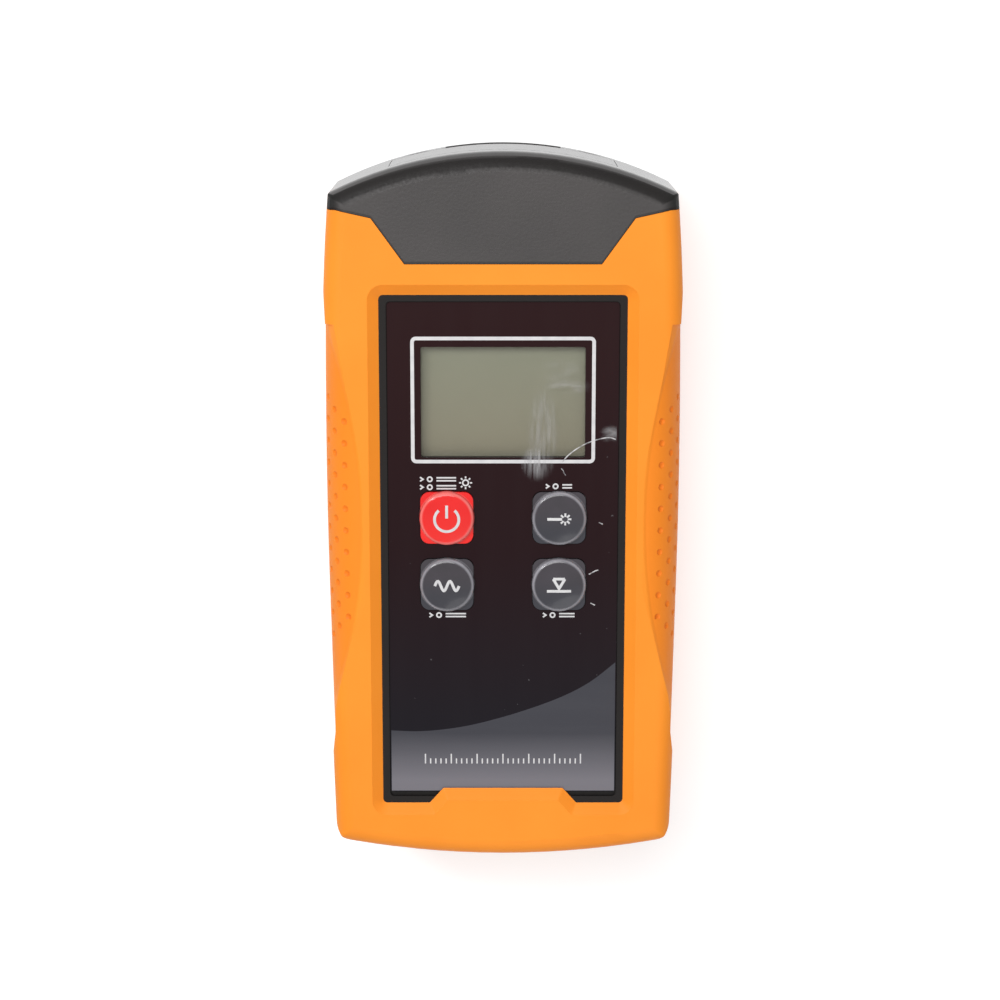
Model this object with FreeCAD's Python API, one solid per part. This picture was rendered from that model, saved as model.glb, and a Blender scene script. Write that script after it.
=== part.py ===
import FreeCAD
import Part

import math
import os
from FreeCAD import Vector

# A handheld optical power meter with a built-in fault-finding laser, lying on its back.
# X runs across the meter, Y towards its port end and Z up, out of its front face.
# Lengths are in millimetres. The origin is the middle of the surface it lies on.

# Outer form
body_length = 160.0
body_thickness = 38.0
widest_half = 39.75           # half the width where the sides bulge most
top_y = body_length / 2
foot_y = -body_length / 2
widest_y = top_y - 50.0
top_taper = 1.65              # how much each side draws in by the port end
foot_taper = 1.75             # how much each side draws in by the foot end
top_arc_radius = 85.0
foot_arc_radius = 193.5
top_corner_radius = 1.2
foot_corner_radius = 5.5
sharp_corner = 0.2            # rounds the corners that have no radius of their own
front_edge_radius = 4.2
back_edge_radius = 6.0

# Rubber boot round the housing
boot_side = 3.2
boot_front = 1.7
boot_back = 1.7
seam_gap = 0.12
core_edge_radius = 5.0        # where the covered housing's sides turn into its front
seam_y = top_y - 12.4                 # the boot ends here, and the bare cap begins
notch_outer_half = widest_half - 3.55
notch_shoulder_half = widest_half - 11.15
notch_shoulder_y = seam_y - 1.7
notch_floor_half = widest_half - 18.35
notch_floor_y = seam_y - 11.64
window_half = widest_half - 12.5
window_top_y = top_y - 31.0
window_foot_y = foot_y + 12.75
window_corner = 1.0
bevel_run = 2.4
tab_root_half = 16.65
tab_tip_half = 13.55
tab_tip_y = window_foot_y + 3.5
tab_corner = 0.5
back_window_half = widest_half - 15.75
back_window_top_y = top_y - 44.0
back_window_foot_y = foot_y + 9.5
back_window_corner = 6.0

# Grip pads scooped into the boot's sides
grip_half = widest_half - 0.25 # half the width across the pads at their middle
grip_middle_y = 10.0
grip_arch_radius = 1200.0
grip_round = 9.2              # radius of the pad's edge, where the side turns into the front
grip_step = 0.05              # how far the pad's edge stays above the front face's plane
grip_top_flat_y = 8.0
grip_foot_flat_y = -15.0
grip_top_rise_radius = 205.0
grip_foot_rise_radius = 97.0
grip_top_y = top_y - 37.4
grip_foot_y = foot_y + 29.8
grip_floor_z = 6.0
grip_inner_half = window_half - 2.25 # the pads keep outside this
top_ramp_length = 13.0        # the pads' ends run out over these lengths
foot_ramp_length = 5.5
ramp_depth = 0.1              # how far the pad has sunk in where its end ramp starts
ramp_height = 0.7

# Housing shells
shell_wall = 2.2
shell_floor = 2.0
front_plate = 2.3
cap_wall = 2.4
split_z = 17.0
screw_post_half = widest_half - 10.25
screw_post_top_y = top_y - 20.0
screw_post_foot_y = foot_y + 15.0
front_post_radius = 3.5
back_post_radius = 4.5
case_screw_radius = 1.25
case_screw_head_radius = 2.75
case_screw_head = 1.8
case_screw_seat_z = 5.7
case_screw_tip_z = 27.0
thread_gap = 0.01
hole_gap = 0.25

# Front overlay and display
overlay_half = window_half - 1.75
overlay_top_y = window_top_y - 1.6
overlay_foot_y = window_foot_y + 2.55
overlay_thickness = 0.4
overlay_sunk = 0.35           # from the housing's face down to the overlay's
overlay_corner = 0.8
overlay_gap = 0.15
pocket_foot_gap = 1.0
view_half = 18.15
view_top_y = top_y - 42.5
view_foot_y = top_y - 67.2
view_corner = 0.5
pane_border = 1.9
pane_thickness = 1.0
pane_gap = 0.1
glass_border = 3.5
glass_thickness = 2.0
glass_drop = 0.8              # from the front plate's inside to the display glass
holder_wall = 1.8
holder_gap = 0.2
contact_strip_width = 2.0
contact_strip_gap = 0.15
light_guide_gap = 0.3
light_guide_air = 0.4

# Keys
key_columns = (-12.5, 12.5)
key_rows = (top_y - 80.82, top_y - 96.07)
key_half = 5.85
key_corner = 2.0
key_dome_radius = 6.1
key_gap = 0.15
key_proud = 0.35
key_dome_height = 1.4
key_dome_rise = 0.35          # how much of that is the crown's own curve
key_dome_edge = 1.0
key_flange_half = 6.8
key_flange_corner = 2.5
key_flange = 0.8
key_flange_gap = 0.15
key_stem_radius = 2.0
key_travel = 0.6
key_stop_gap = 0.05

# Circuit board and what stands on it
board_half = widest_half - 8.75
board_top_y = top_y - 27.0
board_foot_y = foot_y + 22.0
board_thickness = 1.6
board_corner = 2.0
board_drop = 7.0              # from the front plate's inside to the board's face
board_post_radius = 2.75
board_post_half = board_half - 4.0
board_post_top_y = board_top_y - 6.0
board_post_foot_y = board_foot_y + 8.0
board_screw_radius = 0.9
board_screw_head_radius = 1.9
board_screw_head = 1.4
board_screw_length = 6.0
switch_half = 3.0
switch_height = 3.5
switch_button_radius = 1.75
switch_button = 0.8
chip_height = 1.6
controller_half = 6.0
controller_y = board_foot_y + 24.0
amplifier_half = 2.5
amplifier_y = board_top_y - 17.0
crystal_length = 11.0
crystal_radius = 1.6
crystal_gap = 1.6             # from the controller's side

# Port bay in the port end
port_z = body_thickness - 18.0
bay_half = widest_half - 16.25
bay_low_z = port_z - 7.5
bay_high_z = port_z + 7.5
bay_wall = 1.3
bay_floor_y = top_y - 20.0
port_half = 12.0              # each port's distance from the middle
port_bore_radius = 1.255
adapter_collar_radius = 4.0
adapter_collar = 9.0
adapter_flange_half = 6.0
adapter_flange = 1.2
adapter_body_radius = 4.4
adapter_body = 9.0
adapter_key_width = 2.1
adapter_key_depth = 1.4
adapter_screw_offset = 4.6
adapter_screw_radius = 0.8
adapter_screw_head_radius = 1.25
adapter_screw_head = 0.7
adapter_screw_length = 3.0
sleeve_radius = 1.65
sleeve_length = 11.0
sleeve_slit = 0.3
sleeve_recess = 1.0           # from the collar's tip
detector_radius = 2.7
detector_length = 3.6
detector_board_half = 8.0
detector_board_thickness = 1.2
detector_board_gap = 0.4      # under the main board
laser_radius = 4.5
laser_length = 22.0
laser_tail_radius = 3.0
laser_tail = 2.0

# Flap over the port bay, hinged along its back edge
flap_half = bay_half + 1.5
flap_low_z = port_z - 8.8
flap_high_z = port_z + 8.5
flap_gap = 0.15
flap_hinge_gap = 0.45         # along the flap's hinged edge, so that it can turn
flap_rest_gap = 0.15
hinge_z = flap_low_z - 1.9
hinge_depth = 2.3             # from the port end's crown to the hinge line
hinge_barrel_radius = 1.6
hinge_pin_radius = 0.6
hinge_running_gap = 0.05
hinge_knuckle_half = 6.0
hinge_ear_half = 10.0
hinge_side_gap = 0.3
hinge_notch_half = 13.0
hinge_notch_depth = 3.2

# Batteries, their bay in the back shell, and its door
cell_radius = 5.25
cell_length = 44.5
cell_nub_radius = 2.75
cell_nub = 1.2
cell_spacing = 11.0
cell_count = 3
cell_air = 0.35
battery_bay_half = 17.5
battery_bay_middle_y = foot_y + 40.0
contact_space = 2.75          # between each cell's end and the bay's wall
contact_sheet = 0.4
contact_half = 4.5
contact_tongue_half = 3.0
contact_touch_gap = 0.05
battery_bay_wall = 1.5
door_thickness = 1.8
door_gap = 0.25
door_ledge = 1.0
door_tongue = 1.45
door_tongue_thickness = 0.8
door_tongue_near = 7.0
door_tongue_far = 12.0
door_swing_gap = 0.4
door_ridge_half = 6.0
door_ridge_width = 0.9
door_ridge_height = 0.4
door_ridge_count = 4
door_ridge_pitch = 2.2
nail_notch_half = 6.0
nail_notch_length = 3.0
nail_notch_depth = 1.2

# Levels and places that follow from the sizes above
front_z = body_thickness
face_z = front_z - boot_front
plate_z = face_z - front_plate
floor_z = boot_back + shell_floor
overlay_z = face_z - overlay_sunk
pocket_z = overlay_z - overlay_thickness
glass_z = plate_z - glass_drop
board_z = plate_z - board_drop
bay_back_y = bay_floor_y - bay_wall
hinge_y = top_y - hinge_depth
cell_z = floor_z + cell_radius + cell_air
battery_roof_z = cell_z + cell_radius + cell_air
battery_bay_length = cell_length + 2 * contact_space
battery_top_y = battery_bay_middle_y + battery_bay_length / 2
battery_foot_y = battery_bay_middle_y - battery_bay_length / 2
far = 3 * body_length         # reaches past the whole meter


def box(x0, x1, y0, y1, z0, z1):
    return Part.makeBox(x1 - x0, y1 - y0, z1 - z0, Vector(x0, y0, z0))


def rod(radius, start, direction, length):
    return Part.makeCylinder(radius, length, start, direction)


def rod_y(radius, x, z, y0, y1):
    return rod(radius, Vector(x, y0, z), Vector(0, 1, 0), y1 - y0)


def rod_z(radius, x, y, z0, z1):
    return rod(radius, Vector(x, y, z0), Vector(0, 0, 1), z1 - z0)


def prism(wire, z0, z1):
    face = Part.Face(wire)
    face.translate(Vector(0, 0, z0))
    return face.extrude(Vector(0, 0, z1 - z0))


def edges_where(shape, test):
    return [edge for edge in shape.Edges if test(edge)]


def rounded_polygon(points, radii, z=0.0):
    """A closed wire through the points at height z, each corner rounded to its own radius."""
    count = len(points)
    stretches = []
    for i in range(count):
        here = Vector(points[i][0], points[i][1], z)
        back = Vector(points[i - 1][0], points[i - 1][1], z) - here
        ahead = Vector(points[(i + 1) % count][0], points[(i + 1) % count][1], z) - here
        back.normalize()
        ahead.normalize()
        half_turn = back.getAngle(ahead) / 2
        reach = radii[i] / math.tan(half_turn)
        bisector = back + ahead
        bisector.normalize()
        crown = here + bisector * (radii[i] / math.sin(half_turn) - radii[i])
        stretches.append((here + back * reach, crown, here + ahead * reach))
    edges = []
    for i in range(count):
        start, crown, end = stretches[i]
        edges.append(Part.Arc(start, crown, end).toShape())
        edges.append(Part.LineSegment(end, stretches[(i + 1) % count][0]).toShape())
    return Part.Wire(edges)


def rectangle(x0, x1, y0, y1, corner, z=0.0):
    points = [(x0, y0), (x1, y0), (x1, y1), (x0, y1)]
    return rounded_polygon(points, [corner] * 4, z)


def rounded_box(x0, x1, y0, y1, z0, z1, corner):
    return prism(rectangle(x0, x1, y0, y1, corner), z0, z1)


def offset_polygon(points, distance):
    """The polygon with each side moved outwards; the points run anticlockwise."""
    count = len(points)
    moved = []
    for i in range(count):
        a = Vector(points[i - 1][0], points[i - 1][1], 0)
        b = Vector(points[i][0], points[i][1], 0)
        c = Vector(points[(i + 1) % count][0], points[(i + 1) % count][1], 0)
        first = (b - a).normalize()
        second = (c - b).normalize()
        out = Vector(first.y, -first.x, 0) + Vector(second.y, -second.x, 0)
        out.normalize()
        share = out.dot(Vector(first.y, -first.x, 0))
        corner = b + out * (distance / share)
        moved.append((corner.x, corner.y))
    return moved


# The outline is made of circles: one across each end, and two down each side that meet at the widest place.

def side_radius(taper, y):
    along = y - widest_y
    return (along * along + taper * taper) / (2 * taper)


def end_corner_y(half, arc_radius):
    return body_length / 2 - arc_radius + math.sqrt(arc_radius ** 2 - half ** 2)


upper_side_radius = side_radius(top_taper, end_corner_y(widest_half - top_taper, top_arc_radius))
lower_side_radius = side_radius(foot_taper, -end_corner_y(widest_half - foot_taper, foot_arc_radius))


def circles_meet(c1, r1, c2, r2):
    """The crossing of two circles in the plan that lies furthest towards +X."""
    between = c2 - c1
    distance = between.Length
    along = (r1 * r1 - r2 * r2 + distance * distance) / (2 * distance)
    across = math.sqrt(r1 * r1 - along * along)
    base = c1 + between * (along / distance)
    normal = Vector(-between.y, between.x, 0) * (across / distance)
    return max(base + normal, base - normal, key=lambda p: p.x)


def on_circle(centre, radius, y):
    return Vector(centre.x + math.sqrt(radius ** 2 - (y - centre.y) ** 2), y, 0)


def mirrored(point):
    return Vector(-point.x, point.y, point.z)


def corner_arc(end_centre, end_radius, side_centre, side_radius, corner):
    """Start, middle and end of the arc that rounds the corner between an end circle and a side circle."""
    centre = circles_meet(end_centre, end_radius - corner, side_centre, side_radius - corner)
    along_end = (centre - end_centre).normalize()
    along_side = (centre - side_centre).normalize()
    halfway = (along_end + along_side).normalize()
    return centre + along_end * corner, centre + halfway * corner, centre + along_side * corner


def outline(inset, top_corner=sharp_corner, foot_corner=sharp_corner):
    """The meter's plan, drawn in by inset all round, with its corners rounded."""
    top_centre = Vector(0, top_y - top_arc_radius, 0)
    foot_centre = Vector(0, foot_y + foot_arc_radius, 0)
    upper_centre = Vector(widest_half - upper_side_radius, widest_y, 0)
    lower_centre = Vector(widest_half - lower_side_radius, widest_y, 0)
    upper_r = upper_side_radius - inset
    lower_r = lower_side_radius - inset
    top_a, top_b, top_c = corner_arc(top_centre, top_arc_radius - inset, upper_centre, upper_r, top_corner)
    foot_r = foot_arc_radius - inset
    foot_a, foot_b, foot_c = corner_arc(foot_centre, foot_r, lower_centre, lower_r, foot_corner)
    widest = Vector(widest_half - inset, widest_y, 0)
    upper_mid = on_circle(upper_centre, upper_r, (widest_y + top_c.y) / 2)
    lower_mid = on_circle(lower_centre, lower_r, (widest_y + foot_c.y) / 2)
    right = [
        (foot_a, foot_b, foot_c),
        (foot_c, lower_mid, widest),
        (widest, upper_mid, top_c),
        (top_c, top_b, top_a),
    ]
    left = [(mirrored(c), mirrored(b), mirrored(a)) for a, b, c in reversed(right)]
    across_top = (top_a, Vector(0, top_y - inset, 0), mirrored(top_a))
    across_foot = (mirrored(foot_a), Vector(0, foot_y + inset, 0), foot_a)
    arcs = right + [across_top] + left + [across_foot]
    return Part.Wire([Part.Arc(a, b, c).toShape() for a, b, c in arcs])


def outline_prism(inset, z0, z1, top_corner, foot_corner):
    """The plan drawn in by inset and raised from z0 to z1, with its upright corners rounded."""
    return prism(outline(inset, top_corner, foot_corner), z0, z1)


def envelope():
    """The whole outer form: the plan raised to the full thickness, its long edges rounded."""
    solid = prism(outline(0), 0, front_z)

    def long_edge(edge, z):
        middle = edge.CenterOfMass
        return abs(middle.z - z) < 0.001 and abs(middle.x) > body_thickness / 2

    solid = solid.makeFillet(front_edge_radius, edges_where(solid, lambda e: long_edge(e, front_z)))
    solid = solid.makeFillet(back_edge_radius, edges_where(solid, lambda e: long_edge(e, 0)))
    return solid.common(outline_prism(0, 0, front_z, top_corner_radius, foot_corner_radius))


def core():
    """The housing where the boot covers it; its sides turn round into its front."""
    corner = foot_corner_radius - boot_side
    half = widest_half - boot_side
    solid = outline_prism(boot_side, boot_back, face_z, corner, corner)
    rounding = prism(rectangle(-half, half, -face_z, face_z, core_edge_radius), -body_length, body_length)
    rounding.rotate(Vector(0, 0, 0), Vector(1, 0, 0), 90)
    return solid.common(rounding).common(box(-far, far, -far, seam_y + cap_wall, 0, far))


def cap_plan(grow):
    """The bare cap seen from the front, with the tongue that reaches down between the boot's shoulders."""
    points = [
        (-far, seam_y),
        (-notch_outer_half, seam_y),
        (-notch_shoulder_half, notch_shoulder_y),
        (-notch_floor_half, notch_floor_y),
        (notch_floor_half, notch_floor_y),
        (notch_shoulder_half, notch_shoulder_y),
        (notch_outer_half, seam_y),
        (far, seam_y),
        (far, far),
        (-far, far),
    ]
    grown = offset_polygon(points, grow)
    corners = [Vector(x, y, 0) for x, y in grown]
    return Part.makePolygon(corners + [corners[0]])


def housing(outer):
    """Both shells together, with nothing hollowed out yet."""
    cap = outer.common(box(-far, far, seam_y, far, 0, front_z))
    tongue = outer.common(prism(cap_plan(0), face_z, front_z))
    return core().fuse([cap, tongue]).removeSplitter()


def housing_cavity():
    """The room inside both shells."""
    inset = boot_side + shell_wall
    body = prism(outline(inset), floor_z, plate_z)
    cap = prism(outline(cap_wall), cap_wall, front_z - cap_wall)
    cap = cap.common(box(-far, far, seam_y + cap_wall, far, 0, far))
    return body.fuse(cap)


def window_points():
    return [
        (window_half, window_foot_y),
        (window_half, window_top_y),
        (-window_half, window_top_y),
        (-window_half, window_foot_y),
        (-tab_root_half, window_foot_y),
        (-tab_tip_half, tab_tip_y),
        (tab_tip_half, tab_tip_y),
        (tab_root_half, window_foot_y),
    ]


def boot_window():
    """The front opening: its sides slope outwards, and a tab stands up at its foot."""
    inner_radii = [window_corner] * 4 + [tab_corner] * 4
    outer_radii = [window_corner + bevel_run] * 4 + [tab_corner] * 4
    low = rounded_polygon(window_points(), inner_radii, face_z)
    high = rounded_polygon(offset_polygon(window_points(), bevel_run), outer_radii, front_z)
    return Part.makeLoft([low, high], True, True)


# Each grip pad's round edge follows a centre line of three arcs: a flat one round its middle, and one at
# each end that also climbs out of the front face.

def grip_angle(y):
    """Where the centre line's flat arc passes y, as an angle from its middle."""
    return math.asin((y - grip_middle_y) / grip_arch_radius)


def grip_width(y):
    return grip_half - grip_arch_radius * (1 - math.cos(grip_angle(y)))


def grip_section(centre, out):
    """The pad's cross-section about a point of the centre line; out points away from the meter's middle."""

    def at(outwards, upwards):
        return centre + out * outwards + Vector(0, 0, upwards)

    slant = grip_round * math.sqrt(0.5)
    inner = grip_inner_half - 1 - centre.x
    low = -1 - centre.z
    arc = Part.Arc(at(grip_round, 0), at(slant, slant), at(0, grip_round)).toShape()
    corners = [at(0, grip_round), at(inner, grip_round), at(inner, low), at(grip_round, low)]
    corners.append(at(grip_round, 0))
    lines = [Part.LineSegment(a, b).toShape() for a, b in zip(corners, corners[1:])]
    return Part.Face(Part.Wire([arc] + lines))


def grip_stretch(y, towards, rise_curve, length):
    """The pad from y on, along an arc that bends inwards and, by rise_curve, upwards."""
    angle = grip_angle(y)
    out = Vector(math.cos(angle), math.sin(angle), 0)
    along = Vector(-out.y, out.x, 0) * towards
    middle_x = grip_half - grip_round - grip_arch_radius
    middle = Vector(middle_x, grip_middle_y, front_z + grip_step - grip_round)
    centre = middle + out * grip_arch_radius
    bend = Vector(0, 0, rise_curve) - out * (1 / grip_arch_radius)
    radius = 1 / bend.Length
    bend.normalize()
    turn = math.degrees(length / radius)
    return grip_section(centre, out).revolve(centre + bend * radius, along.cross(bend), turn)


def grip_scoop():
    """What is taken off the boot's right side to leave the grip pad."""
    top_x = grip_width(grip_top_y) - ramp_depth
    foot_x = grip_width(grip_foot_y) - ramp_depth
    foot_ramp_y = grip_foot_y - foot_ramp_length
    top_ramp_y = grip_top_y + top_ramp_length
    top_length = top_ramp_y - grip_top_flat_y + grip_round
    foot_length = grip_foot_flat_y - foot_ramp_y + 2 * grip_round
    kept = [
        grip_stretch(grip_foot_flat_y, 1, 0, grip_top_flat_y - grip_foot_flat_y),
        grip_stretch(grip_top_flat_y, 1, 1 / grip_top_rise_radius, top_length),
        grip_stretch(grip_foot_flat_y, -1, 1 / grip_foot_rise_radius, foot_length),
    ]
    plan = [
        (grip_inner_half, grip_foot_y),
        (foot_x, grip_foot_y),
        (foot_x + ramp_height, foot_ramp_y),
        (body_length / 3, foot_ramp_y),
        (body_length / 3, top_ramp_y),
        (top_x + ramp_height, top_ramp_y),
        (top_x, grip_top_y),
        (grip_inner_half, grip_top_y),
    ]
    corners = [Vector(x, y, 0) for x, y in plan]
    zone = prism(Part.makePolygon(corners + [corners[0]]), grip_floor_z, front_z + 2 * grip_round)
    return zone.cut(kept)


def mirror_x(shape):
    return shape.mirror(Vector(0, 0, 0), Vector(1, 0, 0))


def rubber_boot(outer):
    boot = outer.cut(box(-far, far, seam_y - seam_gap, far, -1, far))
    boot = boot.cut(prism(cap_plan(seam_gap), face_z, far))
    boot = boot.cut(core())
    boot = boot.cut(boot_window())
    back_window = rounded_box(
        -back_window_half, back_window_half, back_window_foot_y, back_window_top_y,
        -1, boot_back, back_window_corner)
    boot = boot.cut(back_window)
    scoop = grip_scoop()
    return boot.cut([scoop, mirror_x(scoop)])


def key_prism(x, y, grow, z0, z1):
    """A rounded square with a slightly wider disc laid over it."""
    half = key_half + grow
    square = rounded_box(x - half, x + half, y - half, y + half, z0, z1, key_corner + grow)
    return square.fuse(rod_z(key_dome_radius + grow, x, y, z0, z1)).removeSplitter()


def key_places():
    return [(x, y) for y in key_rows for x in key_columns]


def key_dome(pad_z):
    """The clear lens on a key, turned about Z: a short wall, a rounded edge and a shallow crown."""
    crown_z = pad_z + key_dome_height
    ball_radius = (key_dome_radius ** 2 + key_dome_rise ** 2) / (2 * key_dome_rise)
    ball = Vector(0, 0, crown_z - ball_radius)
    edge_x = key_dome_radius - key_dome_edge
    edge_z = ball.z + math.sqrt((ball_radius - key_dome_edge) ** 2 - edge_x ** 2)
    edge = Vector(edge_x, 0, edge_z)
    out = edge - ball
    out.normalize()
    shoulder = ball + out * ball_radius
    lean = out + Vector(1, 0, 0)
    lean.normalize()
    crown_lean = out + Vector(0, 0, 1)
    crown_lean.normalize()
    foot = Vector(0, 0, pad_z)
    crown = Vector(0, 0, crown_z)
    wall_foot = Vector(key_dome_radius, 0, pad_z)
    wall_top = Vector(key_dome_radius, 0, edge_z)
    profile = Part.Wire([
        Part.LineSegment(foot, wall_foot).toShape(),
        Part.LineSegment(wall_foot, wall_top).toShape(),
        Part.Arc(wall_top, edge + lean * key_dome_edge, shoulder).toShape(),
        Part.Arc(shoulder, ball + crown_lean * ball_radius, crown).toShape(),
        Part.LineSegment(crown, foot).toShape(),
    ])
    return Part.Face(profile).revolve(Vector(0, 0, 0), Vector(0, 0, 1), 360)


def key(x, y):
    flange_z = plate_z - key_flange_gap
    pad_z = overlay_z + key_proud
    dome = key_dome(pad_z)
    dome.translate(Vector(x, y, 0))
    flange = rounded_box(
        x - key_flange_half, x + key_flange_half, y - key_flange_half, y + key_flange_half,
        flange_z - key_flange, flange_z, key_flange_corner)
    stem_z = board_z + switch_height + switch_button + key_travel + key_stop_gap
    stem = rod_z(key_stem_radius, x, y, stem_z, flange_z)
    return key_prism(x, y, 0, flange_z, pad_z).fuse([dome, flange, stem]).removeSplitter()


def front_overlay():
    plate = rounded_box(
        -overlay_half, overlay_half, overlay_foot_y, overlay_top_y, pocket_z, overlay_z, overlay_corner)
    holes = [key_prism(x, y, key_gap, pocket_z - 1, overlay_z + 1) for x, y in key_places()]
    view = rounded_box(
        -view_half, view_half, view_foot_y, view_top_y, pocket_z - 1, overlay_z + 1, view_corner)
    return plate.cut(holes + [view])


def pane_box(grow, z0, z1):
    half = view_half + pane_border + grow
    return box(-half, half, view_foot_y - pane_border - grow, view_top_y + pane_border + grow, z0, z1)


def case_screw_places():
    return [(side * screw_post_half, y) for y in (screw_post_top_y, screw_post_foot_y) for side in (-1, 1)]


def board_screw_places():
    return [(side * board_post_half, y) for y in (board_post_top_y, board_post_foot_y) for side in (-1, 1)]


def bay_mouth():
    """The opening through the port end that the flap closes."""
    half = flap_half + flap_gap
    return box(-half, half, top_y - 2 * hinge_z, far, flap_low_z - flap_hinge_gap, flap_high_z + flap_gap)


def front_shell(whole, cavity):
    shell = whole.cut(cavity).common(box(-far, far, -far, far, split_z, far))
    posts = [rod_z(front_post_radius, x, y, split_z, plate_z) for x, y in case_screw_places()]
    posts += [rod_z(board_post_radius, x, y, board_z, plate_z) for x, y in board_screw_places()]
    shell = shell.fuse(posts).removeSplitter()
    overlay_pocket = rounded_box(
        -overlay_half - overlay_gap, overlay_half + overlay_gap,
        overlay_foot_y - pocket_foot_gap, overlay_top_y + overlay_gap,
        pocket_z, far, overlay_corner + overlay_gap)
    pane_pocket = pane_box(pane_gap, pocket_z - pane_thickness, far)
    view = rounded_box(-view_half, view_half, view_foot_y, view_top_y, 0, far, view_corner)
    cuts = [overlay_pocket.common(box(-far, far, -far, far, pocket_z, face_z)), bay_mouth()]
    cuts += [pane_pocket.common(box(-far, far, -far, far, 0, pocket_z)), view]
    cuts += [key_prism(x, y, key_gap, plate_z - 1, far) for x, y in key_places()]
    cuts += [
        rod_z(case_screw_radius + thread_gap, x, y, 0, case_screw_tip_z + 1)
        for x, y in case_screw_places()
    ]
    cuts += [
        rod_z(board_screw_radius + thread_gap, x, y, 0, board_z - board_thickness + board_screw_length + 1)
        for x, y in board_screw_places()
    ]
    return shell.cut(cuts)


def door_tongue_box(side, grow, y0, y1, z0, z1):
    near = side * (door_tongue_near - grow)
    outer = side * (door_tongue_far + grow)
    return box(min(near, outer), max(near, outer), y0, y1, z0, z1)


def battery_door():
    """The plate in the back shell's floor; its tongues hook in at the foot, where it tilts out."""
    half = battery_bay_half + door_ledge - door_gap
    foot = battery_foot_y - door_ledge + door_gap
    top = battery_top_y + door_ledge - door_gap
    inner_z = boot_back + door_thickness
    parts = []
    for side in (-1, 1):
        parts.append(door_tongue_box(
            side, 0, foot - door_tongue, foot + 1, inner_z - door_tongue_thickness, inner_z))
    for i in range(door_ridge_count):
        y = top - nail_notch_length - door_ridge_pitch * i
        parts.append(box(
            -door_ridge_half, door_ridge_half, y - door_ridge_width, y,
            boot_back - door_ridge_height, boot_back))
    return box(-half, half, foot, top, boot_back, inner_z).fuse(parts).removeSplitter()


def hinge_rod(radius, x0, x1):
    return rod(radius, Vector(x0, hinge_y, hinge_z), Vector(1, 0, 0), x1 - x0)


def hinge_ears():
    """The two ears that hold the flap's pin, on the block behind them."""
    ear_near = hinge_knuckle_half + hinge_side_gap
    block = box(
        -hinge_ear_half, hinge_ear_half, hinge_y - 2 * hinge_barrel_radius, hinge_y + hinge_barrel_radius / 2,
        cap_wall - 1, hinge_z)
    block = block.cut(hinge_rod(hinge_barrel_radius + hinge_side_gap, -ear_near, ear_near))
    ears = [hinge_rod(hinge_barrel_radius, ear_near, hinge_ear_half)]
    ears.append(hinge_rod(hinge_barrel_radius, -hinge_ear_half, -ear_near))
    return block.fuse(ears).removeSplitter()


def back_shell(whole, cavity):
    shell = whole.cut(cavity).common(box(-far, far, -far, far, 0, split_z))
    bay_half_out = battery_bay_half + battery_bay_wall
    well = box(
        -bay_half_out, bay_half_out, battery_foot_y - battery_bay_wall, battery_top_y + battery_bay_wall,
        boot_back, battery_roof_z + battery_bay_wall)
    posts = [rod_z(back_post_radius, x, y, boot_back, split_z) for x, y in case_screw_places()]
    shell = shell.fuse([well] + posts).removeSplitter()
    notch = box(
        -hinge_notch_half, hinge_notch_half, hinge_y - hinge_barrel_radius, far,
        hinge_z - hinge_notch_depth, far)
    shell = shell.cut([notch, bay_mouth()]).fuse(hinge_ears()).removeSplitter()
    room = box(
        -battery_bay_half, battery_bay_half, battery_foot_y, battery_top_y, floor_z - 1, battery_roof_z)
    ledge_half = battery_bay_half + door_ledge
    door_hole = box(
        -ledge_half, ledge_half, battery_foot_y - door_ledge, battery_top_y + door_ledge, 0, floor_z)
    nail_notch = box(
        -nail_notch_half, nail_notch_half, battery_top_y, battery_top_y + door_ledge + nail_notch_length,
        0, boot_back + nail_notch_depth)
    cuts = [room, door_hole, nail_notch, hinge_rod(hinge_pin_radius + thread_gap, -far, far)]
    tongue_low = boot_back + door_thickness - door_tongue_thickness - door_gap
    swing = math.hypot(door_tongue, door_thickness) + door_swing_gap
    tongue_end = battery_foot_y - door_ledge - door_tongue
    for side in (-1, 1):
        cuts.append(door_tongue_box(
            side, door_gap, tongue_end, battery_foot_y + 1, tongue_low, boot_back + swing))
    for x, y in case_screw_places():
        cuts.append(rod_z(case_screw_head_radius + hole_gap, x, y, 0, case_screw_seat_z))
        cuts.append(rod_z(case_screw_radius + hole_gap, x, y, 0, split_z + 1))
    return shell.cut(cuts)


def case_screws():
    made = []
    for x, y in case_screw_places():
        head = rod_z(case_screw_head_radius, x, y, case_screw_seat_z - case_screw_head, case_screw_seat_z)
        shank = rod_z(case_screw_radius, x, y, case_screw_seat_z, case_screw_tip_z)
        made.append(head.fuse(shank))
    return Part.makeCompound(made)


def display_window():
    return pane_box(0, pocket_z - pane_thickness, pocket_z)


def glass_box(grow, z0, z1):
    half = view_half + glass_border / 2 + grow
    return box(-half, half, view_foot_y - glass_border - grow, view_top_y + glass_border + grow, z0, z1)


def display_glass():
    """Two sheets of glass; the lower one is longer, and carries the contacts."""
    lower = glass_box(0, glass_z - glass_thickness, glass_z - glass_thickness / 2)
    half = view_half + glass_border / 2
    upper = box(
        -half, half, view_foot_y - glass_border / 2, view_top_y + glass_border / 2,
        glass_z - glass_thickness / 2, glass_z)
    return lower.fuse(upper).removeSplitter()


def display_holder():
    frame = glass_box(holder_gap + holder_wall, board_z, glass_z)
    return frame.cut(glass_box(holder_gap, board_z - 1, glass_z + 1))


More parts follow.
